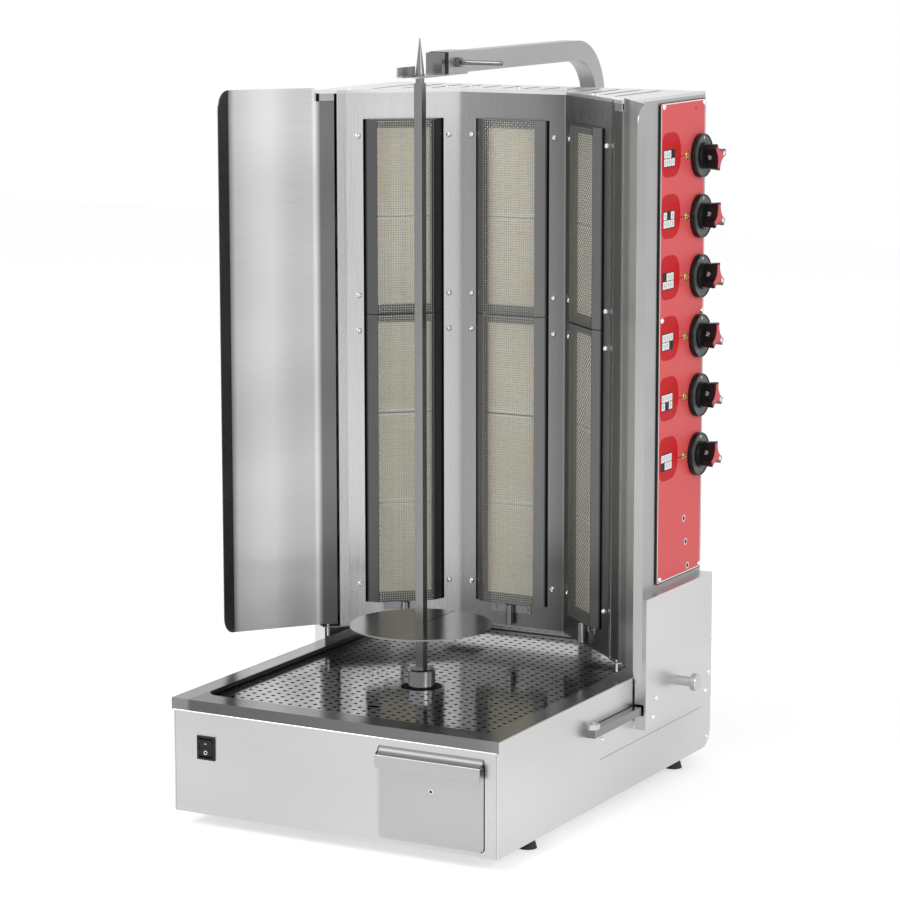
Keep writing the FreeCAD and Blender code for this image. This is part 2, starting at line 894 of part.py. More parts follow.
def make_top_cover():
    corners = [vec(x, y, tower_top) for x, y in cover_outline()]
    face = Part.Face(Part.makePolygon(corners + [corners[0]]))
    inside = face.makeOffset2D(-tower_sheet)
    cover = face.extrude(vec(0, 0, cover_edge)).cut(inside.extrude(vec(0, 0, cover_edge - tower_sheet)))
    slots = []
    for index in range(cover_slot_count):
        x = (index - (cover_slot_count - 1) / 2) * cover_slot_pitch
        slots.append(box(x - cover_slot_width / 2, x + cover_slot_width / 2,
                         front_line_at(x) + cover_slot_front_room, tower_rear - cover_slot_rear_room,
                         tower_top - 1, tower_top + cover_edge + 1))
    return cover.cut(group(slots))


def front_line_at(x):
    """Depth of the tower's folded front at a place across its width."""
    beyond = max(abs(x) - centre_fold[0], 0)
    slope = (side_fold[1] - centre_fold[1]) / (side_fold[0] - centre_fold[0])
    return centre_fold[1] + slope * beyond


def make_tower_floor():
    floor = plan_prism(cover_outline(), tower_bottom, tower_bottom + tower_sheet)
    cuts = []
    for x in (-panel_opening * 2, panel_opening * 2):
        cuts.append(box(x - floor_vent_width / 2, x + floor_vent_width / 2,
                        tower_rear - cover_edge * 4 - floor_vent_length, tower_rear - cover_edge * 4,
                        tower_bottom - 1, tower_bottom + tower_sheet + 1))
    return floor.cut(group(cuts))


# Burners


def hood(low, high, shrink):
    """Trapezoid prism: as wide as the opening in the sheet, narrower at the mouth in front."""
    back_half = panel_opening - shrink
    front_half = hood_mouth - shrink
    outline = [vec(-back_half, 0, low + shrink), vec(back_half, 0, low + shrink),
               vec(front_half, -hood_reach, low + shrink), vec(-front_half, -hood_reach, low + shrink)]
    face = Part.Face(Part.makePolygon(outline + [outline[0]]))
    return face.extrude(vec(0, 0, high - low - shrink * 2))


def make_burner(low, high):
    """One gas burner: hood with sloping sides in front, flange and gas box behind the sheet."""
    half = panel_opening - near_gap
    shell = hood(low + near_gap, high - near_gap, near_gap)
    hollow = hood(low + near_gap, high - near_gap, near_gap + hood_sheet)
    front = shell.cut(hollow)
    flange_half = panel_opening + burner_flange
    back = tower_sheet
    flange = box(-flange_half, flange_half, back, back + hood_sheet,
                 low + near_gap, high - near_gap)
    collar = box(-half, half, 0, back, low + near_gap, high - near_gap)
    inner = half - hood_sheet
    window = box(-inner, inner, -1, back + hood_sheet + 1,
                 low + near_gap + hood_sheet, high - near_gap - hood_sheet)
    plenum = box(-plenum_half, plenum_half, back, back + plenum_depth,
                 low + hood_reach, high - hood_reach)
    plenum = plenum.cut(box(-ceramic_half, ceramic_half, 0, back + plenum_depth - hood_sheet * 2,
                            low + hood_reach + hood_sheet * 2, high - hood_reach - hood_sheet * 2))
    plenum_front = box(-inner - hood_sheet, inner + hood_sheet, back, back + hood_sheet,
                       low + near_gap, high - near_gap)
    seat = plenum_front.cut(box(-ceramic_half, ceramic_half, 0, back + plenum_depth,
                                low + hood_reach + hood_sheet * 2,
                                high - hood_reach - hood_sheet * 2))
    mixer = rod(mixer_radius, vec(0, back + plenum_depth, low + mixer_length),
                vec(0, back + plenum_depth + mixer_length, low + mixer_length))
    bore = rod(mixer_radius - hood_sheet, vec(0, back + plenum_depth - hood_sheet * 3,
                                              low + mixer_length),
               vec(0, back + plenum_depth + mixer_length + 1, low + mixer_length))
    frame = collar.fuse(flange).cut(window)
    return front.fuse(frame).fuse(plenum).fuse(seat).fuse(mixer).cut(bore)


def burner_levels():
    return [(burner_bottom, burner_joint), (burner_joint, burner_top)]


def make_burner_column(column):
    burners = []
    for low, high in burner_levels():
        burners.append(on_panel(make_burner(low, high), column))
    return group(burners)


def make_ceramic_plates():
    """Ceramic tiles standing in the mouths of the gas boxes, one over the other."""
    tiles = []
    for low, high in burner_levels():
        bottom = low + hood_reach + hood_sheet * 2
        top = high - hood_reach - hood_sheet * 2
        count = int(round((top - bottom) / ceramic_height))
        pitch = (top - bottom + ceramic_joint) / count
        for index in range(count):
            z = bottom + index * pitch
            tile = box(-ceramic_half, ceramic_half, ceramic_back, ceramic_back + ceramic_thick,
                       z, z + pitch - ceramic_joint)
            for column in (-1, 0, 1):
                tiles.append(on_panel(tile, column))
    return tiles


def make_burner_meshes():
    sheets = []
    for column in (-1, 0, 1):
        for low, high in burner_levels():
            half = hood_mouth - near_gap
            sheet = box(-half, half, -hood_reach - mesh_thick, -hood_reach,
                        low + near_gap * 2, high - near_gap * 2)
            sheets.append(on_panel(sheet, column))
    return group(sheets)


def make_injectors():
    """Gas jets facing the open ends of the mixing tubes."""
    jets = []
    for column in (-1, 0, 1):
        for low, high in burner_levels():
            start = tower_sheet + plenum_depth + mixer_length
            z = low + mixer_length
            body = hexagon(injector_radius * 2, injector_gap * 2, vec(0, start, z), vec(0, 1, 0))
            nose = rod(injector_radius / 2, vec(0, start - injector_gap, z), vec(0, start, z))
            ring = rod(mixer_radius, vec(0, start, z), vec(0, start + hood_sheet, z))
            jets.append(on_panel(body.fuse(nose).fuse(ring), column))
    return group(jets)


def make_gas_manifold():
    """Upright pipe feeding the valves, with its inlet elbow at the foot."""
    pipe = rod(manifold_radius, vec(manifold_x, manifold_y, tower_bottom + tower_sheet),
               vec(manifold_x, manifold_y, manifold_top))
    tail = rod(manifold_radius, vec(manifold_x, manifold_y, manifold_bottom),
               vec(manifold_x, tower_rear - tower_sheet, manifold_bottom))
    return pipe.fuse(tail)


def make_gas_valves():
    valves = []
    for index in range(knob_count):
        z = knob_height_at(index)
        start = manifold_x + valve_seat
        body = rod(valve_radius, vec(start, knob_y, z), vec(half_width - tower_sheet, knob_y, z))
        stem = rod(stem_radius, vec(half_width - tower_sheet, knob_y, z),
                   vec(knob_start() + knob_skirt, knob_y, z))
        pipe = rod(manifold_radius, vec(manifold_x, manifold_y, tower_bottom),
                   vec(manifold_x, manifold_y, manifold_top))
        valves.append(body.fuse(stem).cut(pipe))
    return group(valves)


def pilot_back():
    """Where the ignition tube's axis stands in front of the burner sheet."""
    return -pilot_radius - tower_sheet / 2


def make_pilots():
    """Short upright ignition tubes on screwed plates below the burners."""
    pilots = []
    for column in (-1, 0, 1):
        tube = rod(pilot_radius, vec(0, pilot_back(), pilot_bottom),
                   vec(0, pilot_back(), pilot_top))
        low = pilot_plate_height - pilot_plate_tall / 2
        high = min(pilot_plate_height + pilot_plate_tall / 2, burner_bottom)
        plate = box(-pilot_plate_half, pilot_plate_half, -tower_sheet, 0, low, high)
        piece = tube.fuse(plate)
        for x in (-pilot_screw_side, pilot_screw_side):
            head = rod(screw_radius, vec(x, -tower_sheet - screw_head, (low + high) / 2),
                       vec(x, -tower_sheet, (low + high) / 2))
            piece = piece.fuse(head)
        pilots.append(on_panel(piece, column))
    return group(pilots)


# Control panel


def knob_face():
    return half_width + panel_sheet


def make_control_panel():
    panel = box(half_width, knob_face(), panel_front, panel_rear, panel_bottom, panel_top)
    level = [edge for edge in panel.Edges if edge.BoundBox.XLength > panel_sheet / 2]
    panel = panel.makeFillet(panel_sheet * 2, level)
    holes = [stem_hole(index) for index in range(knob_count)]
    return panel.cut(group(holes))


def make_knob_bezels():
    rings = []
    for index in range(knob_count):
        z = knob_height_at(index)
        ring = rod(bezel_radius, vec(knob_face(), knob_y, z), vec(knob_face() + bezel_thick, knob_y, z))
        rim = [edge for edge in ring.Edges if len(edge.Vertexes) == 1
               and edge.BoundBox.XMin > knob_face() + bezel_thick / 2]
        ring = ring.makeChamfer(bezel_dish, rim)
        dish = rod(bezel_radius - bezel_rim, vec(knob_face() + bezel_thick - bezel_dish, knob_y, z),
                   vec(knob_face() + bezel_thick + 1, knob_y, z))
        rings.append(ring.cut(dish).cut(stem_hole(index)))
    return group(rings)


def knob_start():
    """Where a knob's back stands, just clear of the bottom of the bezel's dish."""
    return knob_face() + bezel_thick - bezel_dish + near_gap


def make_knob(index):
    """Gas tap knob: round skirt and a grip of three lobes with scooped sides."""
    z = knob_height_at(index)
    start = knob_start()
    end = knob_face() + bezel_thick + knob_height
    skirt = rod(knob_radius, vec(start, knob_y, z), vec(start + knob_skirt, knob_y, z))
    grip = rod(lobe_reach, vec(start + knob_skirt, knob_y, z), vec(end, knob_y, z))
    scoops = []
    pointer = first_pointer if index == 0 else other_pointer
    for lobe in range(knob_lobes):
        angle = math.radians(pointer + (lobe + 0.5) * 360 / knob_lobes)
        y = knob_y + scoop_offset * math.cos(angle)
        up = z + scoop_offset * math.sin(angle)
        scoops.append(rod(scoop_radius, vec(start + knob_skirt, y, up), vec(end + 1, y, up)))
    grip = grip.cut(group(scoops))
    face_edges = [edge for edge in grip.Edges if edge.BoundBox.XMin > end - near_gap]
    grip = grip.makeChamfer(lobe_edge, face_edges)
    bore = rod(stem_radius + running_fit, vec(start - 1, knob_y, z),
               vec(start + knob_skirt + near_gap, knob_y, z))
    return skirt.fuse(grip).cut(bore)


def make_bypass_screws():
    screws = []
    for index in range(knob_count):
        z = knob_height_at(index) + bypass_rise
        end = knob_face() + bypass_head
        head = rod(bypass_radius, vec(knob_face(), bypass_y, z), vec(end, bypass_y, z))
        slot = box(end - bypass_slot, end + 1, bypass_y - bypass_radius - 1, bypass_y + bypass_radius + 1,
                   z - bypass_slot / 2, z + bypass_slot / 2)
        screws.append(head.cut(slot))
    return group(screws)


def make_panel_screws():
    """Dome-headed screws of the control panel, burners and side covers."""
    heads = []
    for y in (panel_front + panel_screw_side, panel_rear - panel_screw_edge):
        for z in (panel_bottom + panel_screw_edge, panel_screw_middle, panel_top - panel_screw_edge):
            heads.append(rod(screw_radius, vec(knob_face(), y, z),
                             vec(knob_face() + screw_head, y, z)))
    side = burner_screw_side
    for column in (-1, 0, 1):
        for low, high in burner_levels():
            for x in (-side, side):
                for z in (low + burner_screw_low, high - burner_screw_high):
                    head = rod(screw_radius, vec(x, -screw_head, z), vec(x, 0, z))
                    heads.append(on_panel(head, column))
    return group(heads)


def make_skirt_screws():
    heads = []
    for sign in (-1, 1):
        for start in (block_front, block_rear):
            for y, z in ((start + block_screw_side, block_bottom + block_screw_edge),
                         (start + block_length - block_screw_side, block_top - block_screw_edge)):
                heads.append(rod(screw_radius, vec(sign * skirt_outer, y, z),
                                 vec(sign * (skirt_outer + screw_head), y, z)))
    return group(heads)


# Side covers and slides


def make_skirt():
    """Right side cover: outer wall, front and rear returns, top return."""
    inner = skirt_outer - tower_sheet
    clear = half_width + rail_gap
    wall = box(inner, skirt_outer, skirt_front, skirt_rear, skirt_bottom, skirt_top)
    front = box(clear, inner, skirt_front, skirt_front + tower_sheet, skirt_bottom, skirt_top)
    top = box(half_width, inner, skirt_front, skirt_rear, skirt_top - tower_sheet, skirt_top)
    slot = box(clear - 1, rail_inner + rail_side + rail_slot_room, skirt_front - 1,
               skirt_front + tower_sheet + 1, rail_bottom - rail_slot_room,
               rail_top + rail_slot_room)
    return wall.fuse(front).fuse(top).cut(slot)


def make_right_skirt():
    hole = rod(clamp_shaft_radius + running_fit, vec(half_width, clamp_y, clamp_z),
               vec(skirt_outer + 1, clamp_y, clamp_z))
    return make_skirt().cut(hole)


def make_rail():
    """Square bar beside the cabinet, screwed to it over two spacers."""
    bar = box(rail_inner, rail_inner + rail_side, rail_front, rail_rear, rail_bottom, rail_top)
    for start in (rail_front, rail_rear - rail_side):
        spacer = box(half_width, rail_inner, start, start + rail_side, rail_bottom, rail_top)
        bar = bar.fuse(spacer)
    return bar


def make_rail_fasteners():
    nuts = []
    for sign in (-1, 1):
        centre = vec(sign * (rail_inner + rail_side / 2), rail_front + rail_side / 2, rail_top)
        nut = hexagon(rail_nut_af, rail_nut_height, centre, vec(0, 0, 1))
        end = rod(rail_side / 3, centre + vec(0, 0, rail_nut_height),
                  centre + vec(0, 0, rail_nut_height + tower_sheet))
        edge = sign * half_width
        keep = box(min(edge, sign * skirt_outer), max(edge, sign * skirt_outer),
                   0, base_depth, rail_top, tray_top)
        nuts.append(nut.fuse(end).common(keep))
    return group(nuts)


def make_slide_blocks():
    """Blocks inside the covers that run on the rails and carry the tower."""
    blocks = []
    outer = skirt_outer - tower_sheet
    inner = half_width + rail_gap
    for sign in (-1, 1):
        for start in (block_front, block_rear):
            block = box(inner, outer, start, start + block_length, block_bottom, block_top)
            channel = box(inner - 1, rail_inner + rail_side + near_gap, start - 1,
                          start + block_length + 1, rail_bottom - near_gap, rail_top + near_gap)
            block = block.cut(channel)
            blocks.append(block if sign > 0 else mirrored(block))
    return group(blocks)


def make_clamp_boss():
    inner = skirt_outer - tower_sheet
    boss = rod(clamp_boss_radius, vec(inner - clamp_boss_length, clamp_y, clamp_z),
               vec(inner, clamp_y, clamp_z))
    return boss.cut(rod(clamp_shaft_radius + running_fit,
                        vec(half_width, clamp_y, clamp_z), vec(skirt_outer, clamp_y, clamp_z)))


def make_clamp_screw():
    """Thumb-screw whose tip bears on the cabinet's side."""
    shaft = rod(clamp_shaft_radius, vec(half_width + near_gap * 2, clamp_y, clamp_z),
                vec(clamp_collar_end, clamp_y, clamp_z))
    head = rod(clamp_head_radius, vec(clamp_collar_end, clamp_y, clamp_z),
               vec(clamp_end, clamp_y, clamp_z))
    rims = [edge for edge in head.Edges if len(edge.Vertexes) == 1]
    head = head.makeChamfer(tower_sheet, rims)
    return shaft.fuse(head)


# Wings


def make_wing():
    """Right wing: hinge strip, main sheet and a straight flange in front."""
    outer_line = [wing_inner, wing_bend, wing_fold, (wing_fold[0], wing_fold[1] - wing_flange)]
    sheet = folded_sheet(outer_line, wing_sheet, wing_bottom, wing_top)
    notch = box(0, wing_bend[0] - wing_sheet * 2, wing_bend[1] - wing_flange,
                wing_inner[1] + wing_sheet * 2, wing_notch, wing_top + 1)
    strip_end = plan_prism([(wing_bend[0] - wing_sheet * 2, wing_bend[1] - wing_sheet),
                            (wing_bend[0] + wing_sheet, wing_bend[1] - wing_sheet),
                            (wing_bend[0] + wing_sheet, wing_bend[1] + wing_flange),
                            (wing_bend[0] - wing_sheet * 2, wing_bend[1] + wing_flange)],
                           wing_notch, wing_top + 1)
    wing = sheet.cut(notch).cut(strip_end)
    for low, sign in ((wing_bottom, 1), (wing_top, -1)):
        centre = vec(0, wing_fold[1], low + sign * wing_flange)
        block = box(wing_fold[0] - wing_flange / 2, wing_fold[0] + wing_flange / 2,
                    wing_fold[1] - wing_flange - 1, wing_fold[1], min(low, centre.z),
                    max(low, centre.z))
        round_part = rod(wing_flange, centre, centre + vec(wing_fold[0] * 2, 0, 0))
        wing = wing.cut(block.cut(round_part))
    for low in (wing_bottom, wing_notch - wing_ear_sheet):
        wing = wing.fuse(wing_ear(low))
    return wing.cut(pin_rod(wing_pin_radius + running_fit))


def wing_ear(low):
    """Small level tab folded from the strip, bored for the hinge pin."""
    centre = vec(wing_axis[0], wing_axis[1], low)
    disc = Part.makeCylinder(wing_ear_radius, wing_ear_sheet, centre)
    strip = folded_sheet([wing_inner, wing_bend], wing_axis_offset(), low, low + wing_ear_sheet)
    return disc.common(plan_prism(ear_limit(), low, low + wing_ear_sheet)).fuse(
        strip.common(Part.makeCylinder(wing_ear_radius, wing_ear_sheet, centre)))


def wing_axis_offset():
    """How far the hinge axis stands behind the strip's front face."""
    run = (wing_bend[0] - wing_inner[0], wing_bend[1] - wing_inner[1])
    to_axis = (wing_axis[0] - wing_inner[0], wing_axis[1] - wing_inner[1])
    return (run[0] * to_axis[1] - run[1] * to_axis[0]) / math.hypot(run[0], run[1])


def ear_limit():
    """Plan area behind the strip's front face."""
    front = [wing_inner, wing_bend]
    back = offset_line(front, wing_flange)
    return front + back[::-1]


def pin_rod(radius):
    return rod(radius, vec(wing_axis[0], wing_axis[1], 0), vec(wing_axis[0], wing_axis[1], wing_top))


def make_hinge_brackets():
    """Small angle under the cover that holds the upper pin in front of the strip."""
    brackets = []
    low = wing_notch + near_gap * 2
    line = [wing_inner, (cover_nose[0], cover_nose[1])]
    plate = plan_prism(line + offset_line(line, wing_ear_sheet)[::-1], low, tower_top)
    centre = vec(wing_axis[0], wing_axis[1], low)
    ear = Part.makeCylinder(wing_ear_radius, wing_ear_sheet, centre)
    ear = ear.common(plan_prism(ear_limit(), low, low + wing_ear_sheet))
    bracket = plate.fuse(ear).cut(pin_rod(wing_pin_radius))
    brackets = [bracket, mirrored(bracket)]
    return group(brackets)


def make_hinge_pins():
    pins = []
    x, y = wing_axis
    lower_start = tower_bottom - wing_pin_hang
    upper_end = wing_notch + near_gap * 2 + wing_ear_sheet
    spans = ((lower_start, lower_start + wing_pin_length),
             (upper_end - wing_pin_length, upper_end))
    for low, high in spans:
        pin = rod(wing_pin_radius, vec(x, y, low), vec(x, y, high))
        pins.append(pin)
        pins.append(mirrored(pin))
    return group(pins)


def floor_with_pin_holes():
    floor = make_tower_floor()
    hole = pin_rod(wing_pin_radius)
    return floor.cut(hole).cut(mirrored(hole))


os.makedirs("parts", exist_ok=True)

side_panel = make_side_panel()
save("side_panel_right", side_panel)
save("side_panel_left", mirrored(side_panel))
save("base_wrap", make_base_wrap())
save("front_panel", make_front_panel())
save("feet", make_feet())
save("drip_tray", make_drip_tray())
save("perforated_plate", make_perforated_plate())

save("drive_socket", make_drive_socket())
save("spit_bar", make_spit_bar())
save("meat_disc", make_meat_disc())
save("gear_motor", make_gear_motor())
save("motor_bracket", make_motor_bracket())

save("drawer_front", make_drawer_front())
save("drawer_box", make_drawer_box())
save("drawer_runners", make_drawer_runners())
save("switch_bezel", make_switch_bezel())
save("switch_rocker", make_switch_rocker())
save("cable_gland", make_cable_gland())

save("arm_tube", make_arm_tube())
save("arm_end_block", make_arm_end_block())
save("arm_stop_ring", make_arm_stop_ring())
save("arm_brackets", make_arm_brackets())
save("spit_retainer", make_spit_retainer())
save("lock_lever", make_lock_lever())

save("burner_front", make_burner_front())
save("tower_shell", make_tower_shell())
save("top_cover", make_top_cover())
save("tower_floor", floor_with_pin_holes())
for column, side in ((-1, "left"), (0, "centre"), (1, "right")):
    save("burner_" + side, make_burner_column(column))
save("ceramic_plates", group(make_ceramic_plates()))
save("burner_meshes", make_burner_meshes())
save("injectors", make_injectors())
save("gas_manifold", make_gas_manifold())
save("gas_valves", make_gas_valves())
save("pilots", make_pilots())

save("control_panel", make_control_panel())
save("knob_bezels", make_knob_bezels())
save("bypass_screws", make_bypass_screws())
save("panel_screws", make_panel_screws())
for index in range(knob_count):
    save("knob_" + str(index + 1), make_knob(index))

save("skirt_right", make_right_skirt())
save("skirt_left", mirrored(make_skirt()))
save("skirt_screws", make_skirt_screws())
rail = make_rail()
save("slide_rails", group([rail, mirrored(rail)]))
save("rail_fasteners", make_rail_fasteners())
save("slide_blocks", make_slide_blocks())
save("clamp_boss", make_clamp_boss())
save("clamp_screw", make_clamp_screw())

wing = make_wing()
save("wing_right", wing)
save("wing_left", mirrored(wing))
save("hinge_brackets", make_hinge_brackets())
save("hinge_pins", make_hinge_pins())
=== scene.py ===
import math
import bmesh
import bpy
import numpy as np
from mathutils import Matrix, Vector


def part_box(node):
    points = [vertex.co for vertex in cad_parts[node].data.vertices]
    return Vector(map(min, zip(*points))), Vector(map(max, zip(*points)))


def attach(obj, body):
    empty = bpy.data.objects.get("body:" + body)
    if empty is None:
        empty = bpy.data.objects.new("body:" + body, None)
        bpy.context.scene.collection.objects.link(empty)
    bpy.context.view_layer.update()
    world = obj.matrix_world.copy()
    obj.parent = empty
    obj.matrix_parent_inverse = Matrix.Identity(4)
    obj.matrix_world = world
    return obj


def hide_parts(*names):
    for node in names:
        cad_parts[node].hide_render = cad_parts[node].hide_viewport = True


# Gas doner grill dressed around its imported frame. Metres, Z up, the user stands at -Y.

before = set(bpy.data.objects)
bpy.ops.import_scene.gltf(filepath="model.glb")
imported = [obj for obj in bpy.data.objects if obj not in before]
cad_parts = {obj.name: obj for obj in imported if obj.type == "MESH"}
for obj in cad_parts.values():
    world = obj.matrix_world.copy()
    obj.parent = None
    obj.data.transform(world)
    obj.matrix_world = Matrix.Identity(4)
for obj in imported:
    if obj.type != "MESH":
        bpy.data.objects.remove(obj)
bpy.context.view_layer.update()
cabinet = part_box("front_panel")[0]
print("frame loaded")


def place(x, y, z):
    # millimetres from the middle of the cabinet's front bottom edge to metres in the frame
    x, y, z = np.broadcast_arrays(np.asarray(x, float), np.asarray(y, float), np.asarray(z, float))
    return np.stack([x / 1000, y / 1000 + cabinet.y, z / 1000 + cabinet.z], -1)


# Camera, floor and light

camera = {
    "position": (2166.4, -3626.2, 1243.4),
    "azimuth": 28.634,
    "pitch": 9.735,
    "roll": 0.05,
    "focal": 131.0,
    "shiftX": -0.0046,
    "shiftY": 0.0007,
}


def makeCamera():
    data = bpy.data.cameras.new("camera")
    data.lens = camera["focal"]
    data.sensor_width = 36
    data.shift_x = camera["shiftX"]
    data.shift_y = camera["shiftY"]
    data.clip_start = 0.1
    data.clip_end = 60
    camObject = bpy.data.objects.new("camera", data)
    camObject.location = place(*camera["position"])
    camObject.rotation_euler = (math.radians(90 - camera["pitch"]), math.radians(camera["roll"]),
                                math.radians(camera["azimuth"]))
    bpy.context.collection.objects.link(camObject)
    bpy.context.scene.camera = camObject


def connect(output, target):
    output.id_data.links.new(output, target)


def setInputs(node, values):
    for name, value in values.items():
        node.inputs[name].default_value = value


def addMath(nodes, operation, first, second=None):
    # arithmetic on one socket or two
    step = nodes.new("ShaderNodeMath")
    step.operation = operation
    connect(first, step.inputs[0])
    if second:
        connect(second, step.inputs[1])
    return step


def addRange(nodes, value, ends):
    # a value moved in proportion from one pair of ends to another
    level = nodes.new("ShaderNodeMapRange")
    setInputs(level, ends)
    connect(value, level.inputs["Value"])
    return level.outputs["Result"]


def startMaterial(name, metallic, roughness):
    material = bpy.data.materials.new(name)
    material.use_nodes = True
    shader = material.node_tree.nodes["Principled BSDF"]
    setInputs(shader, {"Metallic": metallic, "Roughness": roughness})
    return material, material.node_tree.nodes, shader


studio = {
    "floorSize": 14.0,
    "floorColour": (0.86, 0.86, 0.86, 1),
    "floorGlow": 0.42,
    "floorRoughness": 0.9,
    "floorGloss": 0.1,
    "skyLight": 0.62,
    "skyColour": (1.0, 1.0, 1.0, 1),
    "lamps": (("key", (-2.6, -3.4, 3.4), 2.6, 95), ("fill", (3.6, -1.8, 2.2), 2.2, 45)),
    "aim": (0, 0, 0.5),
}


def whiteToEye(nodes):
    # 1 for camera, glossy and transmission rays, 0 for the rest
    path = nodes.new("ShaderNodeLightPath")
    total = path.outputs["Is Camera Ray"]
    for ray in ("Is Glossy Ray", "Is Transmission Ray"):
        total = addMath(nodes, "MAXIMUM", total, path.outputs[ray]).outputs[0]
    return total


def makeStudio():
    bpy.ops.mesh.primitive_grid_add(x_subdivisions=4, y_subdivisions=4, size=studio["floorSize"])
    floor = bpy.context.object
    floor.name = "studioFloor"
    paper, nodes, shader = startMaterial("floorPaper", 0.0, studio["floorRoughness"])
    setInputs(shader, {"Base Color": studio["floorColour"], "Emission Color": (1, 1, 1, 1),
                       "Specular IOR Level": studio["floorGloss"]})
    glow = addMath(nodes, "MULTIPLY", whiteToEye(nodes))
    glow.inputs[1].default_value = studio["floorGlow"]
    connect(glow.outputs[0], shader.inputs["Emission Strength"])
    floor.data.materials.append(paper)

    world = bpy.data.worlds.new("studioSky")
    bpy.context.scene.world = world
    world.use_nodes = True
    nodes = world.node_tree.nodes
    background = nodes["Background"]
    setInputs(background, {"Color": studio["skyColour"]})
    sky = addRange(nodes, whiteToEye(nodes), {"To Min": studio["skyLight"]})
    connect(sky, background.inputs["Strength"])

    for name, spot, size, power in studio["lamps"]:
        data = bpy.data.lights.new(name, "AREA")
        data.shape = "DISK"
        data.size = size
        data.energy = power
        lamp = bpy.data.objects.new(name, data)
        lamp.location = spot
        towards = Vector(studio["aim"]) - Vector(spot)
        lamp.rotation_euler = towards.to_track_quat("-Z", "Y").to_euler()
        bpy.context.collection.objects.link(lamp)
    bpy.context.scene.view_settings.view_transform = "Standard"


# Burner columns: the front sheet's right-hand folds at (x, y), and the hoods' half width

columns = {
    "centreFold": (85.0, 514.5),
    "sideFold": (210.0, 405.0),
    "hoodGap": 53.4,
}


def columnMiddle():
    # the right-hand column's middle between its folds, and its slope in plan
    fold, side = columns["centreFold"], columns["sideFold"]
    slope = math.atan2(side[1] - fold[1], side[0] - fold[0])
    return (fold[0] + side[0]) / 2, (fold[1] + side[1]) / 2, slope


# Materials


def objectPlace(nodes, change):
    # the place on the object in metres, after a change of scale, turn or shift
    coordinates = nodes.new("ShaderNodeTexCoord")
    mapping = nodes.new("ShaderNodeMapping")
    setInputs(mapping, change)
    connect(coordinates.outputs["Object"], mapping.inputs["Vector"])
    return mapping.outputs["Vector"]


def addNoise(nodes, stretch, scale, detail):
    # noise drawn out by the inverse of the stretch
    noise = nodes.new("ShaderNodeTexNoise")
    setInputs(noise, {"Scale": scale, "Detail": detail})
    connect(objectPlace(nodes, {"Scale": stretch}), noise.inputs["Vector"])
    return noise.outputs["Fac"]


def addRamp(nodes, value, low, high, start=0.3, end=0.7):
    ramp = nodes.new("ShaderNodeValToRGB")
    for stop, position, colour in zip(ramp.color_ramp.elements, (start, end), (low, high)):
        stop.position = position
        stop.color = (*colour, 1)
    connect(value, ramp.inputs["Fac"])
    return ramp.outputs["Color"]


def addBump(nodes, shader, value, strength, depth):
    bump = nodes.new("ShaderNodeBump")
    setInputs(bump, {"Strength": strength, "Distance": depth})
    connect(value, bump.inputs["Height"])
    connect(bump.outputs["Normal"], shader.inputs["Normal"])


def multiplyColours(nodes, first, second):
    mix = nodes.new("ShaderNodeMix")
    mix.data_type = "RGBA"
    mix.blend_type = "MULTIPLY"
    mix.inputs["Factor"].default_value = 1.0
    connect(first, mix.inputs[6])
    connect(second, mix.inputs[7])
    return mix.outputs[2]


brushing = {
    "level": (14, 14, 1400),
    "upright": (1300, 1300, 9),
    # stretch of the slow clouds, which are painted soft reflections in the steel
    "levelClouds": (2.0, 2.0, 5.0),
    "uprightClouds": (9.0, 9.0, 1.2),
    "roughRange": (0.8, 1.2),
    "strength": 0.35,
    "depth": 0.00004,
    "grainStrength": 0.25,
    "grainDepth": 0.00003,
    "zoneSpan": 0.4,
}


def addPaintedLightBands(nodes, colour, places, turn=0.0, shift=0.0, mirrored=False):
    # painted light and shade: tone multiplied by factors at distances (mm) across the piece,
    # blended between them
    axes = nodes.new("ShaderNodeSeparateXYZ")
    change = {"Rotation": (0, 0, turn), "Location": (shift, 0, 0)}
    connect(objectPlace(nodes, change), axes.inputs["Vector"])
    value = axes.outputs["X"]
    if mirrored:
        value = addMath(nodes, "ABSOLUTE", value).outputs[0]
    span = brushing["zoneSpan"]
    ramp = nodes.new("ShaderNodeValToRGB")
    stops = ramp.color_ramp.elements
    for distance, factor in places[1:-1]:
        stops.new((distance / 1000 + span) / (2 * span))
    for stop, (distance, factor) in zip(stops, places):
        stop.position = (distance / 1000 + span) / (2 * span)
        stop.color = (factor, factor, factor, 1)
    connect(addRange(nodes, value, {"From Min": -span, "From Max": span}), ramp.inputs["Fac"])
    return multiplyColours(nodes, colour, ramp.outputs["Color"])


def brushedSteel(name, tone, grain, roughness, spread=0.03, clouds=0.08, places=()):
    # tone and roughness follow noise drawn out along the brushing, with slow clouds of painted
    # soft reflection and zones of painted light and shade
    material, nodes, shader = startMaterial(name, 1.0, roughness)
    streaks = addNoise(nodes, brushing[grain], 1.0, 2.0)
    slow = addNoise(nodes, brushing[grain + "Clouds"], 1.0, 1.0)
    colour = addRamp(nodes, streaks, [tone * (1 - spread)] * 3, [tone * (1 + spread)] * 3)
    # painted soft reflection: slow clouds darken the tone in broad patches
    veil = addRamp(nodes, slow, [1 - 2 * clouds] * 3, (1, 1, 1))
    colour = multiplyColours(nodes, colour, veil)
    for stops, where in places:
        colour = addPaintedLightBands(nodes, colour, stops, **where)
    connect(colour, shader.inputs["Base Color"])
    low, high = brushing["roughRange"]
    rough = addRange(nodes, streaks, {"To Min": roughness * low, "To Max": roughness * high})
    connect(rough, shader.inputs["Roughness"])
    addBump(nodes, shader, streaks, brushing["strength"], brushing["depth"])
    return material


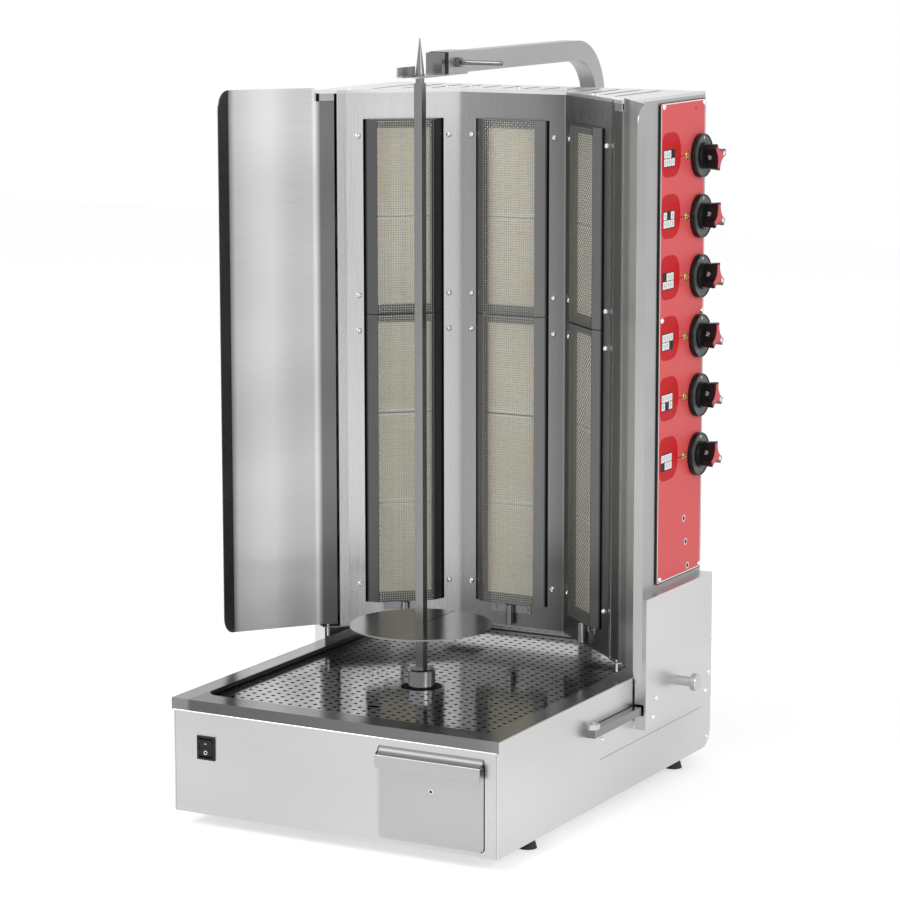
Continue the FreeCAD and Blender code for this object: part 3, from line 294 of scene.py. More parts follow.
def smoothMaterial(name, colour, metallic, roughness, grainScale, spread, gloss=0.5):
    # even finish with a fine grain in its colour and surface
    material, nodes, shader = startMaterial(name, metallic, roughness)
    setInputs(shader, {"Specular IOR Level": gloss})
    grain = addNoise(nodes, (1, 1, 1), grainScale, 3.0)
    low = [c * (1 - spread) for c in colour]
    high = [min(c * (1 + spread), 1.0) for c in colour]
    connect(addRamp(nodes, grain, low, high), shader.inputs["Base Color"])
    addBump(nodes, shader, grain, brushing["grainStrength"], brushing["grainDepth"])
    return material


ceramic = {
    "roughness": 0.85,
    "cells": 520,
    "randomness": 0.35,
    "hole": (0.36, 0.32, 0.22),
    "tile": (1.0, 0.97, 0.84),
    "holeEdge": (0.14, 0.34),
    "stain": (0.9, 0.88, 0.84),
    "clouds": 9,
    "strength": 0.6,
    "depth": 0.0004,
}


def ceramicMaterial():
    # cream tile with a close grid of darker flame holes, one per cell of a fine cell pattern
    material, nodes, shader = startMaterial("ceramicTile", 0.0, ceramic["roughness"])
    cells = nodes.new("ShaderNodeTexVoronoi")
    setInputs(cells, {"Scale": ceramic["cells"], "Randomness": ceramic["randomness"]})
    connect(objectPlace(nodes, {}), cells.inputs["Vector"])
    distance = cells.outputs["Distance"]
    holes = addRamp(nodes, distance, ceramic["hole"], ceramic["tile"], *ceramic["holeEdge"])
    clouds = addNoise(nodes, (1, 1, 1), ceramic["clouds"], 2.0)
    stain = addRamp(nodes, clouds, ceramic["stain"], (1, 1, 1))
    connect(multiplyColours(nodes, holes, stain), shader.inputs["Base Color"])
    addBump(nodes, shader, distance, ceramic["strength"], ceramic["depth"])
    return material


# hood finishes: name, tone and column

hoodFinishes = {
    # three tones of one hood steel, lit and shaded copies: painted light
    "hoodLeft": ("leftHoodSteel", 0.11, -1),
    "hoodCentre": ("centreHoodSteel", 0.20, 0),
    "hoodRight": ("rightHoodSteel", 0.15, 1),
}


def hoodSteel(name, tone, column):
    # dark steel with a black strip of painted shadow at both outer edges, where the hood leaves a
    # gap in the sheet
    x, y, slope = columnMiddle()
    slope *= column
    shift = -(column * x / 1000 * math.cos(slope) + (y / 1000 + cabinet.y) * math.sin(slope))
    gap = columns["hoodGap"]
    places = ((0, 1), (gap, 1), (gap + 0.6, 0.03), (200, 0.03))
    return brushedSteel(name, tone, "upright", 0.35, 0.03, 0.05,
                        [(places, {"turn": -slope, "shift": shift, "mirrored": True})])


# even finishes: name, colour, metallic, roughness, grain, its spread and the gloss

smoothFinishes = {
    "socket": ("socketMetal", (0.40, 0.40, 0.41), 1.0, 0.16, 900, 0.03),
    "chrome": ("brightMetal", (0.55, 0.55, 0.56), 1.0, 0.16, 900, 0.03),
    "screw": ("screwMetal", (0.8, 0.8, 0.8), 1.0, 0.14, 900, 0.03),
    "wire": ("wireMetal", (0.62, 0.61, 0.56), 1.0, 0.3, 700, 0.1),
    # darker copy of the wire metal: painted shade
    "wireDark": ("farWireMetal", (0.22, 0.22, 0.2), 1.0, 0.3, 700, 0.1),
    "brass": ("brassMetal", (0.62, 0.43, 0.20), 1.0, 0.25, 500, 0.1),
    "seam": ("tileEdge", (1.0, 1.0, 0.96), 0.0, 0.5, 500, 0.01),
    "red": ("panelRed", (0.78, 0.095, 0.10), 0.0, 0.4, 700, 0.04, 0.25),
    "deepRed": ("fieldRed", (0.62, 0.008, 0.014), 0.0, 0.4, 700, 0.05, 0.1),
    "white": ("printWhite", (0.9, 0.9, 0.9), 0.0, 0.4, 700, 0.02),
    # black for print, and for painted shade in gaps and holes
    "ink": ("printBlack", (0.012, 0.012, 0.013), 0.0, 0.5, 700, 0.2, 0.2),
    "dial": ("dialGrey", (0.09, 0.105, 0.1), 0.0, 0.45, 400, 0.2),
    "knob": ("knobBlack", (0.01, 0.01, 0.011), 0.0, 0.3, 900, 0.2, 0.3),
    "knobRed": ("knobRed", (0.72, 0.09, 0.11), 0.0, 0.4, 700, 0.05, 0.25),
    "plastic": ("blackPlastic", (0.01, 0.01, 0.011), 0.0, 0.42, 1200, 0.2, 0.25),
    "rubber": ("footRubber", (0.02, 0.02, 0.02), 0.0, 0.7, 800, 0.3),
    "paint": ("motorPaint", (0.06, 0.065, 0.075), 0.0, 0.45, 300, 0.15),
}

# zones of painted light and shade, standing in for highlights, reflections, lit faces and shadow
# gaps: (mm from the piece's origin, factor) pairs

# wings: bright bands are painted highlights, near-black bands are painted shadow in the gaps at
# the hinge and flange
hingeLightZone = ((0, 0.3), (240, 0.3), (241.5, 1.4), (243.5, 1.4), (245, 0.97), (262, 0.95))
paintedLightZones = {
    "leftWing": hingeLightZone + ((285, 1.12), (300, 0.98), (318, 0.74), (321, 0.74), (323, 0.12)),
    "rightWing": hingeLightZone + ((270, 1.6), (319, 1.6), (321, 0.03), (323.6, 0.03), (324.2, 0.8)),
    # tray rim: darker in front and to the left, lighter to the right and rear, with a lighter left
    # end: painted reflection
    "trayDepth": ((-450, 0.85), (-270, 1.05), (-120, 1.3), (-20, 3.2), (250, 3.2)),
    "trayLeft": ((-252, 2.0), (-228, 2.0), (-222, 1.0), (252, 1.0)),
    # burner front: folded faces lighter on the left and darker in the middle and right, as painted
    # light, with a painted shade line at the right fold
    "fold": ((-210, 1.6), (-88, 1.35), (-82, 0.75), (20, 0.6), (82, 0.38), (88, 0.75),
             (215, 0.75)),
}

# brushed finishes: name, tone, brushing, roughness, spread, clouds and zones

brushedFinishes = {
    # cabinet, side, cover, skirt and tower are one steel: their tones are lit and shaded copies,
    # painted light
    "cabinet": ("cabinetSteel", 0.57, "level", 0.34),
    "side": ("sideSteel", 0.66, "level", 0.34),
    "drawer": ("drawerSteel", 0.46, "level", 0.36),
    # the cove's dark tone is painted shade
    "cove": ("coveShadeSteel", 0.27, "level", 0.42, 0.02, 0.04),
    # dark tray rim tone: painted reflection
    "tray": ("trayRimReflectionSteel", 0.14, "level", 0.2, 0.03, 0.06,
             [(paintedLightZones["trayDepth"], {"turn": -math.pi / 4}), (paintedLightZones["trayLeft"], {})]),
    "plate": ("perforatedSteel", 0.31, "level", 0.12),
    "wingLeft": ("leftWingSteel", 0.60, "level", 0.3, 0.02, 0.1,
                 [(paintedLightZones["leftWing"], {"mirrored": True})]),
    "wingRight": ("rightWingSteel", 0.60, "level", 0.3, 0.02, 0.1,
                  [(paintedLightZones["rightWing"], {"mirrored": True})]),
    "tower": ("towerSteel", 0.43, "upright", 0.30),
    "fold": ("foldSteel", 0.42, "upright", 0.28, 0.03, 0.1, [(paintedLightZones["fold"], {})]),
    "hairLine": ("seamSteel", 0.2, "level", 0.4),
    "cover": ("coverSteel", 0.78, "level", 0.25, 0.02),
    "skirt": ("skirtSteel", 0.68, "level", 0.32, 0.02),
    "spit": ("spitSteel", 0.24, "upright", 0.24),
    "disc": ("discSteel", 0.26, "level", 0.2),
    "mast": ("mastSteel", 0.50, "level", 0.38, 0.03),
    "rail": ("railSteel", 0.26, "level", 0.14),
    "edge": ("edgeHighlightSteel", 0.96, "level", 0.3, 0.01, 0.01),
}


def makeFinishes():
    table = {key: brushedSteel(*values) for key, values in brushedFinishes.items()}
    table |= {key: smoothMaterial(*values) for key, values in smoothFinishes.items()}
    table |= {key: hoodSteel(*values) for key, values in hoodFinishes.items()}
    table["ceramic"] = ceramicMaterial()
    return table


dressed = {
    "cabinet": ("front_panel", "base_wrap", "drawer_runners"),
    "side": ("side_panel_left", "side_panel_right"),
    "drawer": ("drawer_front", "drawer_box"),
    "tray": ("drip_tray", "motor_bracket"),
    "wingLeft": ("wing_left",),
    "wingRight": ("wing_right",),
    "tower": ("tower_shell", "tower_floor", "hinge_brackets"),
    "fold": ("burner_front",),
    "hoodLeft": ("burner_left",),
    "hoodCentre": ("burner_centre",),
    "hoodRight": ("burner_right",),
    "cover": ("top_cover",),
    "skirt": ("skirt_left", "skirt_right"),
    "spit": ("spit_bar", "arm_end_block", "lock_lever"),
    "disc": ("meat_disc",),
    "mast": ("arm_tube", "arm_brackets", "spit_retainer", "clamp_boss", "gas_manifold"),
    "rail": ("slide_rails",),
    "socket": ("drive_socket", "pilots"),
    "chrome": ("rail_fasteners", "hinge_pins", "clamp_screw"),
    "brass": ("injectors", "gas_valves"),
    "ceramic": ("ceramic_plates",),
    "red": ("control_panel",),
    "plastic": ("switch_bezel", "switch_rocker", "cable_gland", "arm_stop_ring", "slide_blocks"),
    "rubber": ("feet",),
    "paint": ("gear_motor",),
}


def dressNodes():
    for finish, names in dressed.items():
        for name in names:
            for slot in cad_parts[name].material_slots:
                slot.material = finishTable[finish]


# Surfaces from point grids

meshing = {
    "weld": 2e-6,
    "crease": 35,
}


def gridQuads(rows, perRow):
    # four-sided faces between neighbouring rows of points, closed around each row
    row, point = np.meshgrid(np.arange(rows - 1), np.arange(perRow), indexing="ij")
    after = (point + 1) % perRow
    corners = [row * perRow + point, row * perRow + after,
               (row + 1) * perRow + after, (row + 1) * perRow + point]
    return np.stack(corners, -1).reshape(-1, 4)


def makeMesh(name, points, faces, finish, body, crease):
    mesh = bpy.data.meshes.new(name)
    mesh.from_pydata(points, [], faces)
    work = bmesh.new()
    work.from_mesh(mesh)
    bmesh.ops.remove_doubles(work, verts=work.verts, dist=meshing["weld"])
    bmesh.ops.recalc_face_normals(work, faces=work.faces)
    work.to_mesh(mesh)
    work.free()
    mesh.shade_smooth()
    mesh.set_sharp_from_angle(angle=math.radians(crease))
    mesh.materials.append(finishTable[finish])
    piece = bpy.data.objects.new(name, mesh)
    bpy.context.collection.objects.link(piece)
    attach(piece, body)
    return piece


def makePiece(name, shells, finish, body, crease=meshing["crease"]):
    # each shell is one or more grids of points, closed around their rows, that end in a point
    points, faces, start = [], [], 0
    for shell in shells:
        rows, perRow = shell.shape[-3:-1]
        grids = shell.reshape(-1, rows * perRow, 3)
        offsets = start + np.arange(len(grids))[:, None, None] * rows * perRow
        faces.append((gridQuads(rows, perRow) + offsets).reshape(-1, 4))
        points.append(grids.reshape(-1, 3))
        start += len(grids) * rows * perRow
    return makeMesh(name, np.concatenate(points), np.concatenate(faces), finish, body, crease)


def fullTurn(count):
    # even steps of a full turn
    return np.arange(count) * 2 * math.pi / count


def polarRings(radius, angle, height):
    # (radius times cosine, radius times sine, height) of each ring
    across, up = radius * np.cos(angle), radius * np.sin(angle)
    return np.stack([across, up, np.broadcast_to(height, across.shape)], -1)


def turned(profile, segments):
    # (radius, height) pairs swept round the height axis: (across, up, height)
    radius, height = np.asarray(profile, float).T
    return polarRings(radius[:, None], fullTurn(segments), height[:, None])


def plateRings(outline, steps):
    # an outline (across, up) scaled to its middle at each (scale, height) step
    scale, height = np.asarray(steps, float).T
    flat = scale[:, None, None] * outline[None]
    rise = np.broadcast_to(height[:, None, None], flat.shape[:2] + (1,))
    return np.concatenate([flat, rise], -1)


def roundedBox(halfAcross, halfUp, corner, perCorner=6):
    # outline of a rectangle whose corners are quarter circles
    quarter = np.linspace(0, math.pi / 2, perCorner)
    outline = []
    for turn, (sx, sy) in enumerate(((1, 1), (-1, 1), (-1, -1), (1, -1))):
        angle = quarter + turn * math.pi / 2
        outline.append(np.stack([sx * (halfAcross - corner) + corner * np.cos(angle),
                                 sy * (halfUp - corner) + corner * np.sin(angle)], -1))
    return np.concatenate(outline)


def onSide(shape, y, z, x):
    # (across, up, height) of a shape to the cabinet's right: across is Y, up is Z, height is X
    return place(x + shape[..., 2], y + shape[..., 0], z + shape[..., 1])


def onBothSides(shape, spots, x):
    # a shape at each (y, z) spot of the cabinet's right side, and mirrored at its left
    return [onSide(shape, y, z, x) * np.array([side, 1, 1]) for y, z in spots for side in (-1, 1)]


def onColumn(shape, column, across, z, height):
    # (across, up, height) of a shape to a burner column, where height points to the meat
    along = across + shape[..., 0]
    out = height + shape[..., 2]
    up = z + shape[..., 1]
    if column == 0:
        return place(along, columns["centreFold"][1] - out, up)
    middleX, middleY, slope = columnMiddle()
    x = middleX + along * math.cos(slope) + out * math.sin(slope)
    y = middleY + along * math.sin(slope) - out * math.cos(slope)
    return place(column * x, y, up)


# Perforated plate over the drip tray

perforation = {
    "holeSide": 5.5,
    "columns": 27,
    "columnPitch": 15.3,
    "rows": 36,
    "rowPitch": 15.2,
    "corner": 16.0,
    "cornerSteps": (4, 8, 12),
    "spitY": 245.0,
    "centreHole": 29.0,
    "centreCut": (2.0, 2.5),
    "slotBack": 132.0,
    "slotHalf": (9.5, 5.0),
    "slotCut": (18.05, (-141.65, -116.75)),
}


def holeLines(count, pitch, half, reach):
    # lines at both edges of every hole, more towards the plate's corners, and the holes' cells
    centres = (np.arange(count) - (count - 1) / 2) * pitch
    edges = np.stack([centres - half, centres + half], -1).ravel()
    extra = reach - perforation["corner"] + np.array(perforation["cornerSteps"], float)
    extra = extra[extra > edges[-1] + 1]
    lines = np.concatenate([[-reach], -extra[::-1], edges, extra, [reach]])
    return lines, len(extra) + 1 + 2 * np.arange(count)


def slotEdge(direction):
    # distance from the middle of a round-ended slot to its edge
    length, half = perforation["slotHalf"]
    straight = length - half
    cosine, sine = np.abs(direction).T
    side = half / np.maximum(sine, 1e-9)
    end = straight * cosine + np.sqrt(np.maximum(half ** 2 - (straight * sine) ** 2, 0))
    return np.where(side * cosine <= straight, side, end)


def loopAround(low, high, lines):
    # grid indices of the corners around a block of cells, anticlockwise
    (left, right), (front, back) = low, high
    bottom = [(i, front) for i in range(left, right)]
    rightSide = [(right, j) for j in range(front, back)]
    top = [(i, back) for i in range(right, left, -1)]
    leftSide = [(left, j) for j in range(back, front, -1)]
    loop = np.array(bottom + rightSide + top + leftSide)
    return loop[:, 0] * lines + loop[:, 1]


def makePerforatedPlate():
    # a grid of lines at the hole edges: cells in holes stay open, walls join top and bottom
    low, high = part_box("perforated_plate")
    centre = (low + high) / 2
    halfX, halfY = (high.x - low.x) * 500, (high.y - low.y) * 500
    half = perforation["holeSide"] / 2
    xs, xHoles = holeLines(perforation["columns"], perforation["columnPitch"], half, halfX)
    ys, yHoles = holeLines(perforation["rows"], perforation["rowPitch"], half, halfY)
    spitBack = perforation["spitY"] + (cabinet.y - centre.y) * 1000
    gx, gy = np.meshgrid(xs, ys, indexing="ij")
    state = np.ones((len(xs) - 1, len(ys) - 1), int)
    state[np.ix_(xHoles, yHoles)] = 0

    corner = perforation["corner"]
    over = np.stack([np.abs(gx) - (halfX - corner), np.abs(gy) - (halfY - corner)], -1)
    inCorner = (over > 0).all(-1)
    length = np.maximum(np.linalg.norm(over, axis=-1), 1e-9)
    moved = over * (over.max(-1) / length)[..., None]
    px = np.where(inCorner, np.sign(gx) * (halfX - corner + moved[..., 0]), gx)
    py = np.where(inCorner, np.sign(gy) * (halfY - corner + moved[..., 1]), gy)
    plan = np.stack([px, py], -1).reshape(-1, 2)

    # blocks of cells give way to the round hole at the spit and to the finger slot
    def nearestLine(lines, distance):
        return int(np.argmin(np.abs(lines - distance)))

    columnsCut, rowsCut = perforation["centreCut"]
    cutX = columnsCut * perforation["columnPitch"] + half
    cutY = rowsCut * perforation["rowPitch"] - half
    slotX, slotY = perforation["slotCut"]
    slotY = (slotY[0] + spitBack, slotY[1] + spitBack)
    blocks = (((-cutX, cutX), (spitBack - cutY, spitBack + cutY), (0, spitBack), "round"),
              ((-slotX, slotX), slotY, (0, spitBack - perforation["slotBack"]), "slot"))
    rings = []
    for spanX, spanY, middle, kind in blocks:
        ix = (nearestLine(xs, spanX[0]), nearestLine(xs, spanX[1]))
        iy = (nearestLine(ys, spanY[0]), nearestLine(ys, spanY[1]))
        state[ix[0]:ix[1], iy[0]:iy[1]] = 2
        loop = loopAround(ix, iy, len(ys))
        away = plan[loop] - np.array(middle)
        away /= np.linalg.norm(away, axis=1, keepdims=True)
        size = perforation["centreHole"] if kind == "round" else slotEdge(away)[:, None]
        rings.append((loop, np.array(middle) + away * size))

    flat = np.concatenate([plan] + [ring for loop, ring in rings])
    total = len(flat)
    lines = len(ys)
    index = np.arange(len(xs) - 1)[:, None] * lines + np.arange(lines - 1)
    solid = index[state == 1]
    top = np.stack([solid, solid + lines, solid + lines + 1, solid + 1], -1)
    faces = [top, top[:, ::-1] + total]
    padded = np.pad(state > 0, 1)
    full = padded[1:-1, 1:-1]
    sides = ((padded[:-2, 1:-1], 0, 1), (padded[2:, 1:-1], lines + 1, lines),
             (padded[1:-1, :-2], lines, 0), (padded[1:-1, 2:], 1, lines + 1))
    for neighbour, first, second in sides:
        edge = index[full & ~neighbour]
        faces.append(np.stack([edge + first, edge + second, edge + second + total,
                               edge + first + total], -1))
    start = len(plan)
    for loop, ring in rings:
        here = start + np.arange(len(ring))
        after = start + (np.arange(len(ring)) + 1) % len(ring)
        loopAfter = np.roll(loop, -1)
        patch = np.stack([loop, loopAfter, after, here], -1)
        wall = np.stack([here, after, after + total, here + total], -1)
        faces += [patch, patch[:, ::-1] + total, wall]
        start += len(ring)
    x = flat[:, 0] / 1000 + centre.x
    y = flat[:, 1] / 1000 + centre.y
    points = np.concatenate([np.stack([x, y, np.full(total, high.z)], -1),
                             np.stack([x, y, np.full(total, low.z)], -1)])
    piece = makeMesh("perforatedTrayPlate", points, np.concatenate(faces), "plate", "plate",
                     30)
    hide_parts("perforated_plate")


# Woven wire in front of the burners

weave = {
    "pitch": 3.45,
    "wire": 0.38,
    "swing": 0.55,
    "standOff": 11.4,
    "half": 41.4,
    "crease": 80,
    "levels": (("lower", 217.0, 639.2), ("upper", 640.8, 919.2)),
    "sides": (("left", -1), ("centre", 0), ("right", 1)),
}


def wires(places, length, phase, along):
    # wires of square section that swing over and under: a cosine of the way along
    steps = int(round(length / weave["pitch"])) * 2
    way = np.linspace(-length / 2, length / 2, steps + 1)
    swing = weave["swing"] * np.cos(math.pi * np.arange(steps + 1) / 2)
    sign = np.where(np.arange(len(places)) % 2 == 0, 1.0, -1.0) * phase
    turn = np.arange(4) * math.pi / 2
    thick = np.full(steps + 3, weave["wire"])
    thick[[0, -1]] = 0
    way = np.concatenate([[way[0]], way, [way[-1]]])
    swing = np.concatenate([[swing[0]], swing, [swing[-1]]])
    side = places[:, None, None] + thick[None, :, None] * np.cos(turn)
    out = sign[:, None, None] * swing[None, :, None] + thick[None, :, None] * np.sin(turn)
    run = np.broadcast_to(way[None, :, None], side.shape)
    order = (run, side, out) if along == "across" else (side, run, out)
    return np.stack(order, -1)


def makeWireMeshes():
    pieces = []
    pitch = weave["pitch"]
    for side, column in weave["sides"]:
        for level, low, high in weave["levels"]:
            countX, countZ = int(2 * weave["half"] / pitch), int((high - low) / pitch)
            warp = wires((np.arange(countX) - (countX - 1) / 2) * pitch, countZ * pitch, 1, "up")
            weft = wires((np.arange(countZ) - (countZ - 1) / 2) * pitch, countX * pitch, -1,
                         "across")
            shells = [onColumn(shape, column, 0, (low + high) / 2, weave["standOff"])
                      for shape in (warp, weft)]
            name = "wireMesh_" + side + "_" + level
            # the right column's wires take the darker copy: painted shade
            finish = "wireDark" if side == "right" else "wire"
            pieces.append(makePiece(name, shells, finish, "tower", weave["crease"]))
    for piece in pieces:
        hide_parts("burner_meshes")


tiles = {
    "half": 39.0,
    "face": 1.0,
    "stripHalf": 1.6,
    "stripApart": 3.4,
    "seams": (362.3, 495.2, 780.0),
}


def makeTileSeams():
    # two smooth bands of bare ceramic beside each joint between tiles
    outline = roundedBox(tiles["half"], tiles["stripHalf"], 1.0, 4)
    band = plateRings(outline, ((0, -0.6), (1, -0.6), (1, 0.2), (0.98, 0.5), (0, 0.5)))
    shells = []
    for column in (-1, 0, 1):
        for seam in tiles["seams"]:
            for shift in (-tiles["stripApart"], tiles["stripApart"]):
                shells.append(onColumn(band, column, 0, seam + shift, -tiles["face"]))
    makePiece("tileSeams", shells, "seam", "tower")


# Screws

screws = {
    "radius": 4.1,
    "height": 2.7,
    "segments": 32,
    "steps": (0.0, 0.15, 0.32, 0.5, 0.68, 0.85, 0.96, 1.0),
    "edgeFall": 0.75,
    "sunk": 0.1,
    "crease": 30,
    "crossHalf": 0.6,
    "crossReach": 0.62,
    "crossDepth": 0.8,
    "panelY": (483.0, 617.0),
    "panelZ": (281.5, 650.0, 946.5),
    "burnerSide": 66.5,
    "burnerZ": (243.6, 616.0, 667.6, 896.0),
    "skirtFace": 269.0,
    "skirtSpots": ((428.8, 97.0), (439.2, 122.0), (606.8, 97.0), (617.2, 122.0)),
    "cabinetFace": 250.0,
    "cabinetRadius": 3.2,
    "cabinetHeight": 1.8,
    "cabinetSpots": ((306.0, 91.0), (655.0, 15.0)),
}


def domeHead(radius, height):
    # a flat dome with a cross pressed in: height falls with the fourth power of the radius
    segments = screws["segments"]
    steps = np.array(screws["steps"])
    angle = fullTurn(segments)
    r = radius * steps[:, None]
    across, up = r * np.cos(angle), r * np.sin(angle)
    rise = height * (1 - screws["edgeFall"] * steps[:, None] ** 4) * np.ones_like(across)
    arm = np.minimum(np.abs(across), np.abs(up)) < screws["crossHalf"]
    rise = rise - np.where(arm & (r < screws["crossReach"] * radius), screws["crossDepth"], 0)
    top = np.stack([across, up, rise], -1)
    foot = np.stack([across[-1], up[-1], np.full(segments, -screws["sunk"])], -1)
    middle = np.zeros((1, segments, 3))
    middle[..., 2] = -screws["sunk"]
    return np.concatenate([top, foot[None], middle])


def makeScrews():
    # one dome for the tower's screws and a smaller one for the cabinet's
    head = domeHead(screws["radius"], screws["height"])
    smallHead = domeHead(screws["cabinetRadius"], screws["cabinetHeight"])
    face, crease = panel["face"], screws["crease"]
    onPanel = [onSide(head, y, z, face) for y in screws["panelY"] for z in screws["panelZ"]]
    onBurner = [onColumn(head, column, side, z, 0) for column in (-1, 0, 1)
                for side in (-screws["burnerSide"], screws["burnerSide"])
                for z in screws["burnerZ"]]
    piece = makePiece("domeScrews", onPanel + onBurner, "screw", "tower", crease)
    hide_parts("panel_screws")
    onSkirt = onBothSides(head, screws["skirtSpots"], screws["skirtFace"])
    piece = makePiece("skirtScrews", onSkirt, "screw", "tower", crease)
    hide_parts("skirt_screws")
    onCabinet = onBothSides(smallHead, screws["cabinetSpots"], screws["cabinetFace"])
    makePiece("cabinetScrews", onCabinet, "screw", "base", crease)


bypass = {
    "profile": ((0, 3.5), (0.7, 3.5), (1.4, 3.5), (2.6, 3.5), (3.6, 3.4), (4.2, 3.0), (4.3, 1.8),
                (6.0, 1.7), (6.5, 1.2), (6.5, -0.1), (0, -0.1)),
    "slotHalf": 0.7,
    "slotDepth": 1.3,
    "slotAbove": 2.5,
    "segments": 36,
    "y": 560.5,
    "rise": 3.2,
}


def makeBypassScrews():
    # slotted brass heads: a low cone with a step, lowered where the slot runs
    head = turned(bypass["profile"], bypass["segments"])
    inSlot = (np.abs(head[..., 1]) < bypass["slotHalf"]) & (head[..., 2] > bypass["slotAbove"])
    head[..., 2] -= np.where(inSlot, bypass["slotDepth"], 0)
    shells = atKnobs(head, bypass["y"], bypass["rise"], panel["face"])
    piece = makePiece("bypassScrewHeads", shells, "brass", "tower", screws["crease"])
    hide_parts("bypass_screws")


# Knobs and dials

knobs = {
    "y": 604.0,
    "first": 872.0,
    "pitch": 85.5,
    "count": 6,
    "back": 257.3,
    "skirt": 18.6,
    "skirtThick": 5.4,
    "length": 26.3,
    "lobes": 3,
    "lobeReach": 20.4,
    "lobeSoft": 0.9,
    "scoopRadius": 20.0,
    "scoopOffset": 28.5,
    "firstPointer": 14.0,
    "otherPointer": -27.0,
    "bezelRadius": 31.2,
    "bezelThick": 8.2,
    "dialDepth": 1.4,
    "markRise": 25.4,
    "boreRadius": 8.0,
    "markReach": 13.2,
    "strokeApart": 2.4,
    "strokeSlant": 0.3,
    "strokeRise": 0.52,
    "strokeDepth": 0.965,
    "segments": 120,
    "bezelSegments": 96,
    "crease": 40,
}


def knobHeights():
    return knobs["first"] - knobs["pitch"] * np.arange(knobs["count"])


def atKnobs(shape, y, rise, x):
    # a shape beside every knob, raised from its axis
    return [onSide(shape, y, z + rise, x) for z in knobHeights()]


def lobeOutline(angle, pointer):
    # the nearer of the lobe's reach and the scoop's circle (99: none), rounded where they meet
    phase = (angle - pointer) * knobs["lobes"]
    away = np.arccos(np.cos(phase + math.pi)) / knobs["lobes"]
    offset, radius = knobs["scoopOffset"], knobs["scoopRadius"]
    inside = radius ** 2 - (offset * np.sin(away)) ** 2
    scoop = np.where(inside > 0, offset * np.cos(away) - np.sqrt(np.maximum(inside, 0)), 99.0)
    reach, soft = knobs["lobeReach"], knobs["lobeSoft"]
    blend = np.clip(0.5 + 0.5 * (reach - scoop) / (2 * soft), 0, 1)
    return reach + (np.minimum(scoop, reach + 4) - reach) * blend - soft * blend * (1 - blend)


def knobShell(pointer):
    # round skirt, then the lobed grip, which opens a little towards its face
    angle = fullTurn(knobs["segments"])
    lobed = lobeOutline(angle, pointer)
    thick, length = knobs["skirtThick"], knobs["length"]
    rounds = ((0, 0), (1, 0), (1, 0.8), (1, thick - 1.0), (0.985, thick - 0.3), (0.95, thick))
    rows = [np.full(len(angle), knobs["skirt"] * scale) for scale, height in rounds]
    heights = [height for scale, height in rounds]
    grips = ((0.9, thick + 0.6), (0.93, thick + 2.0), (0.96, length * 0.6), (1.0, length - 1.2),
             (0.99, length - 0.4), (0.96, length), (0.88, length), (0.86, length - 0.5),
             (0, length - 0.5))
    rows += [np.minimum(lobed * scale, knobs["lobeReach"]) for scale, height in grips]
    heights += [height for scale, height in grips]
    return polarRings(np.stack(rows), angle, np.array(heights)[:, None])


def faceShell(pointer):
    # red inlay that fills the hollow of the grip's face
    angle = fullTurn(knobs["segments"])
    steps = np.array(((0, -0.6), (0.855, -0.6), (0.855, -0.1), (0.84, 0.1), (0.5, 0.25), (0, 0.3)))
    return polarRings(steps[:, :1] * lobeOutline(angle, pointer), angle,
                      steps[:, 1:] + knobs["length"])


def turnedAbout(shape, angle, reach):
    # a small shape turned by an angle and moved out along it
    across = shape[..., 0] + reach
    cosine, sine = math.cos(angle), math.sin(angle)
    return np.stack([across * cosine - shape[..., 1] * sine,
                     across * sine + shape[..., 1] * cosine, shape[..., 2]], -1)


def makeKnobs():
    # lobed knobs with a red face, a white pointer and three slanted strokes in the scoop behind it
    length, back, crease = knobs["length"], knobs["back"], knobs["crease"]
    pointerMark = plateRings(roundedBox(3.6, 2.9, 1.4, 5),
                             ((0, -0.4), (1, -0.4), (1, 0.5), (0.93, 0.7), (0, 0.7)))
    pointerMark[..., 2] += length
    stroke = plateRings(roundedBox(2.6, 0.45, 0.4, 4), ((0, -0.4), (1, -0.4), (1, 0.1), (0, 0.15)))
    for index, z in enumerate(knobHeights()):
        pointer = math.radians(knobs["firstPointer"] if index == 0 else knobs["otherPointer"])
        body = "knob_" + str(index + 1)
        name = "tapKnob_" + str(index + 1)
        piece = makePiece(name, [onSide(knobShell(pointer), knobs["y"], z, back)], "knob", body,
                          crease)
        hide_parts(body)
        makePiece(name + "_face", [onSide(faceShell(pointer), knobs["y"], z, back)], "knobRed",
                  body, crease)
        aimed = turnedAbout(pointerMark, pointer, knobs["markReach"])
        white = [onSide(aimed, knobs["y"], z, back)]
        scoop = pointer + math.pi
        depth = (knobs["scoopOffset"] - knobs["scoopRadius"]) * knobs["strokeDepth"]
        for step in (-knobs["strokeApart"], 0, knobs["strokeApart"]):
            across = stroke[..., 1] + step + stroke[..., 0] * knobs["strokeSlant"]
            leaning = np.stack([stroke[..., 2] + depth, across,
                                stroke[..., 0] + length * knobs["strokeRise"]], -1)
            white.append(onSide(turnedAbout(leaning, scoop, 0), knobs["y"], z, back))
        makePiece(name + "_marks", white, "white", body, crease)


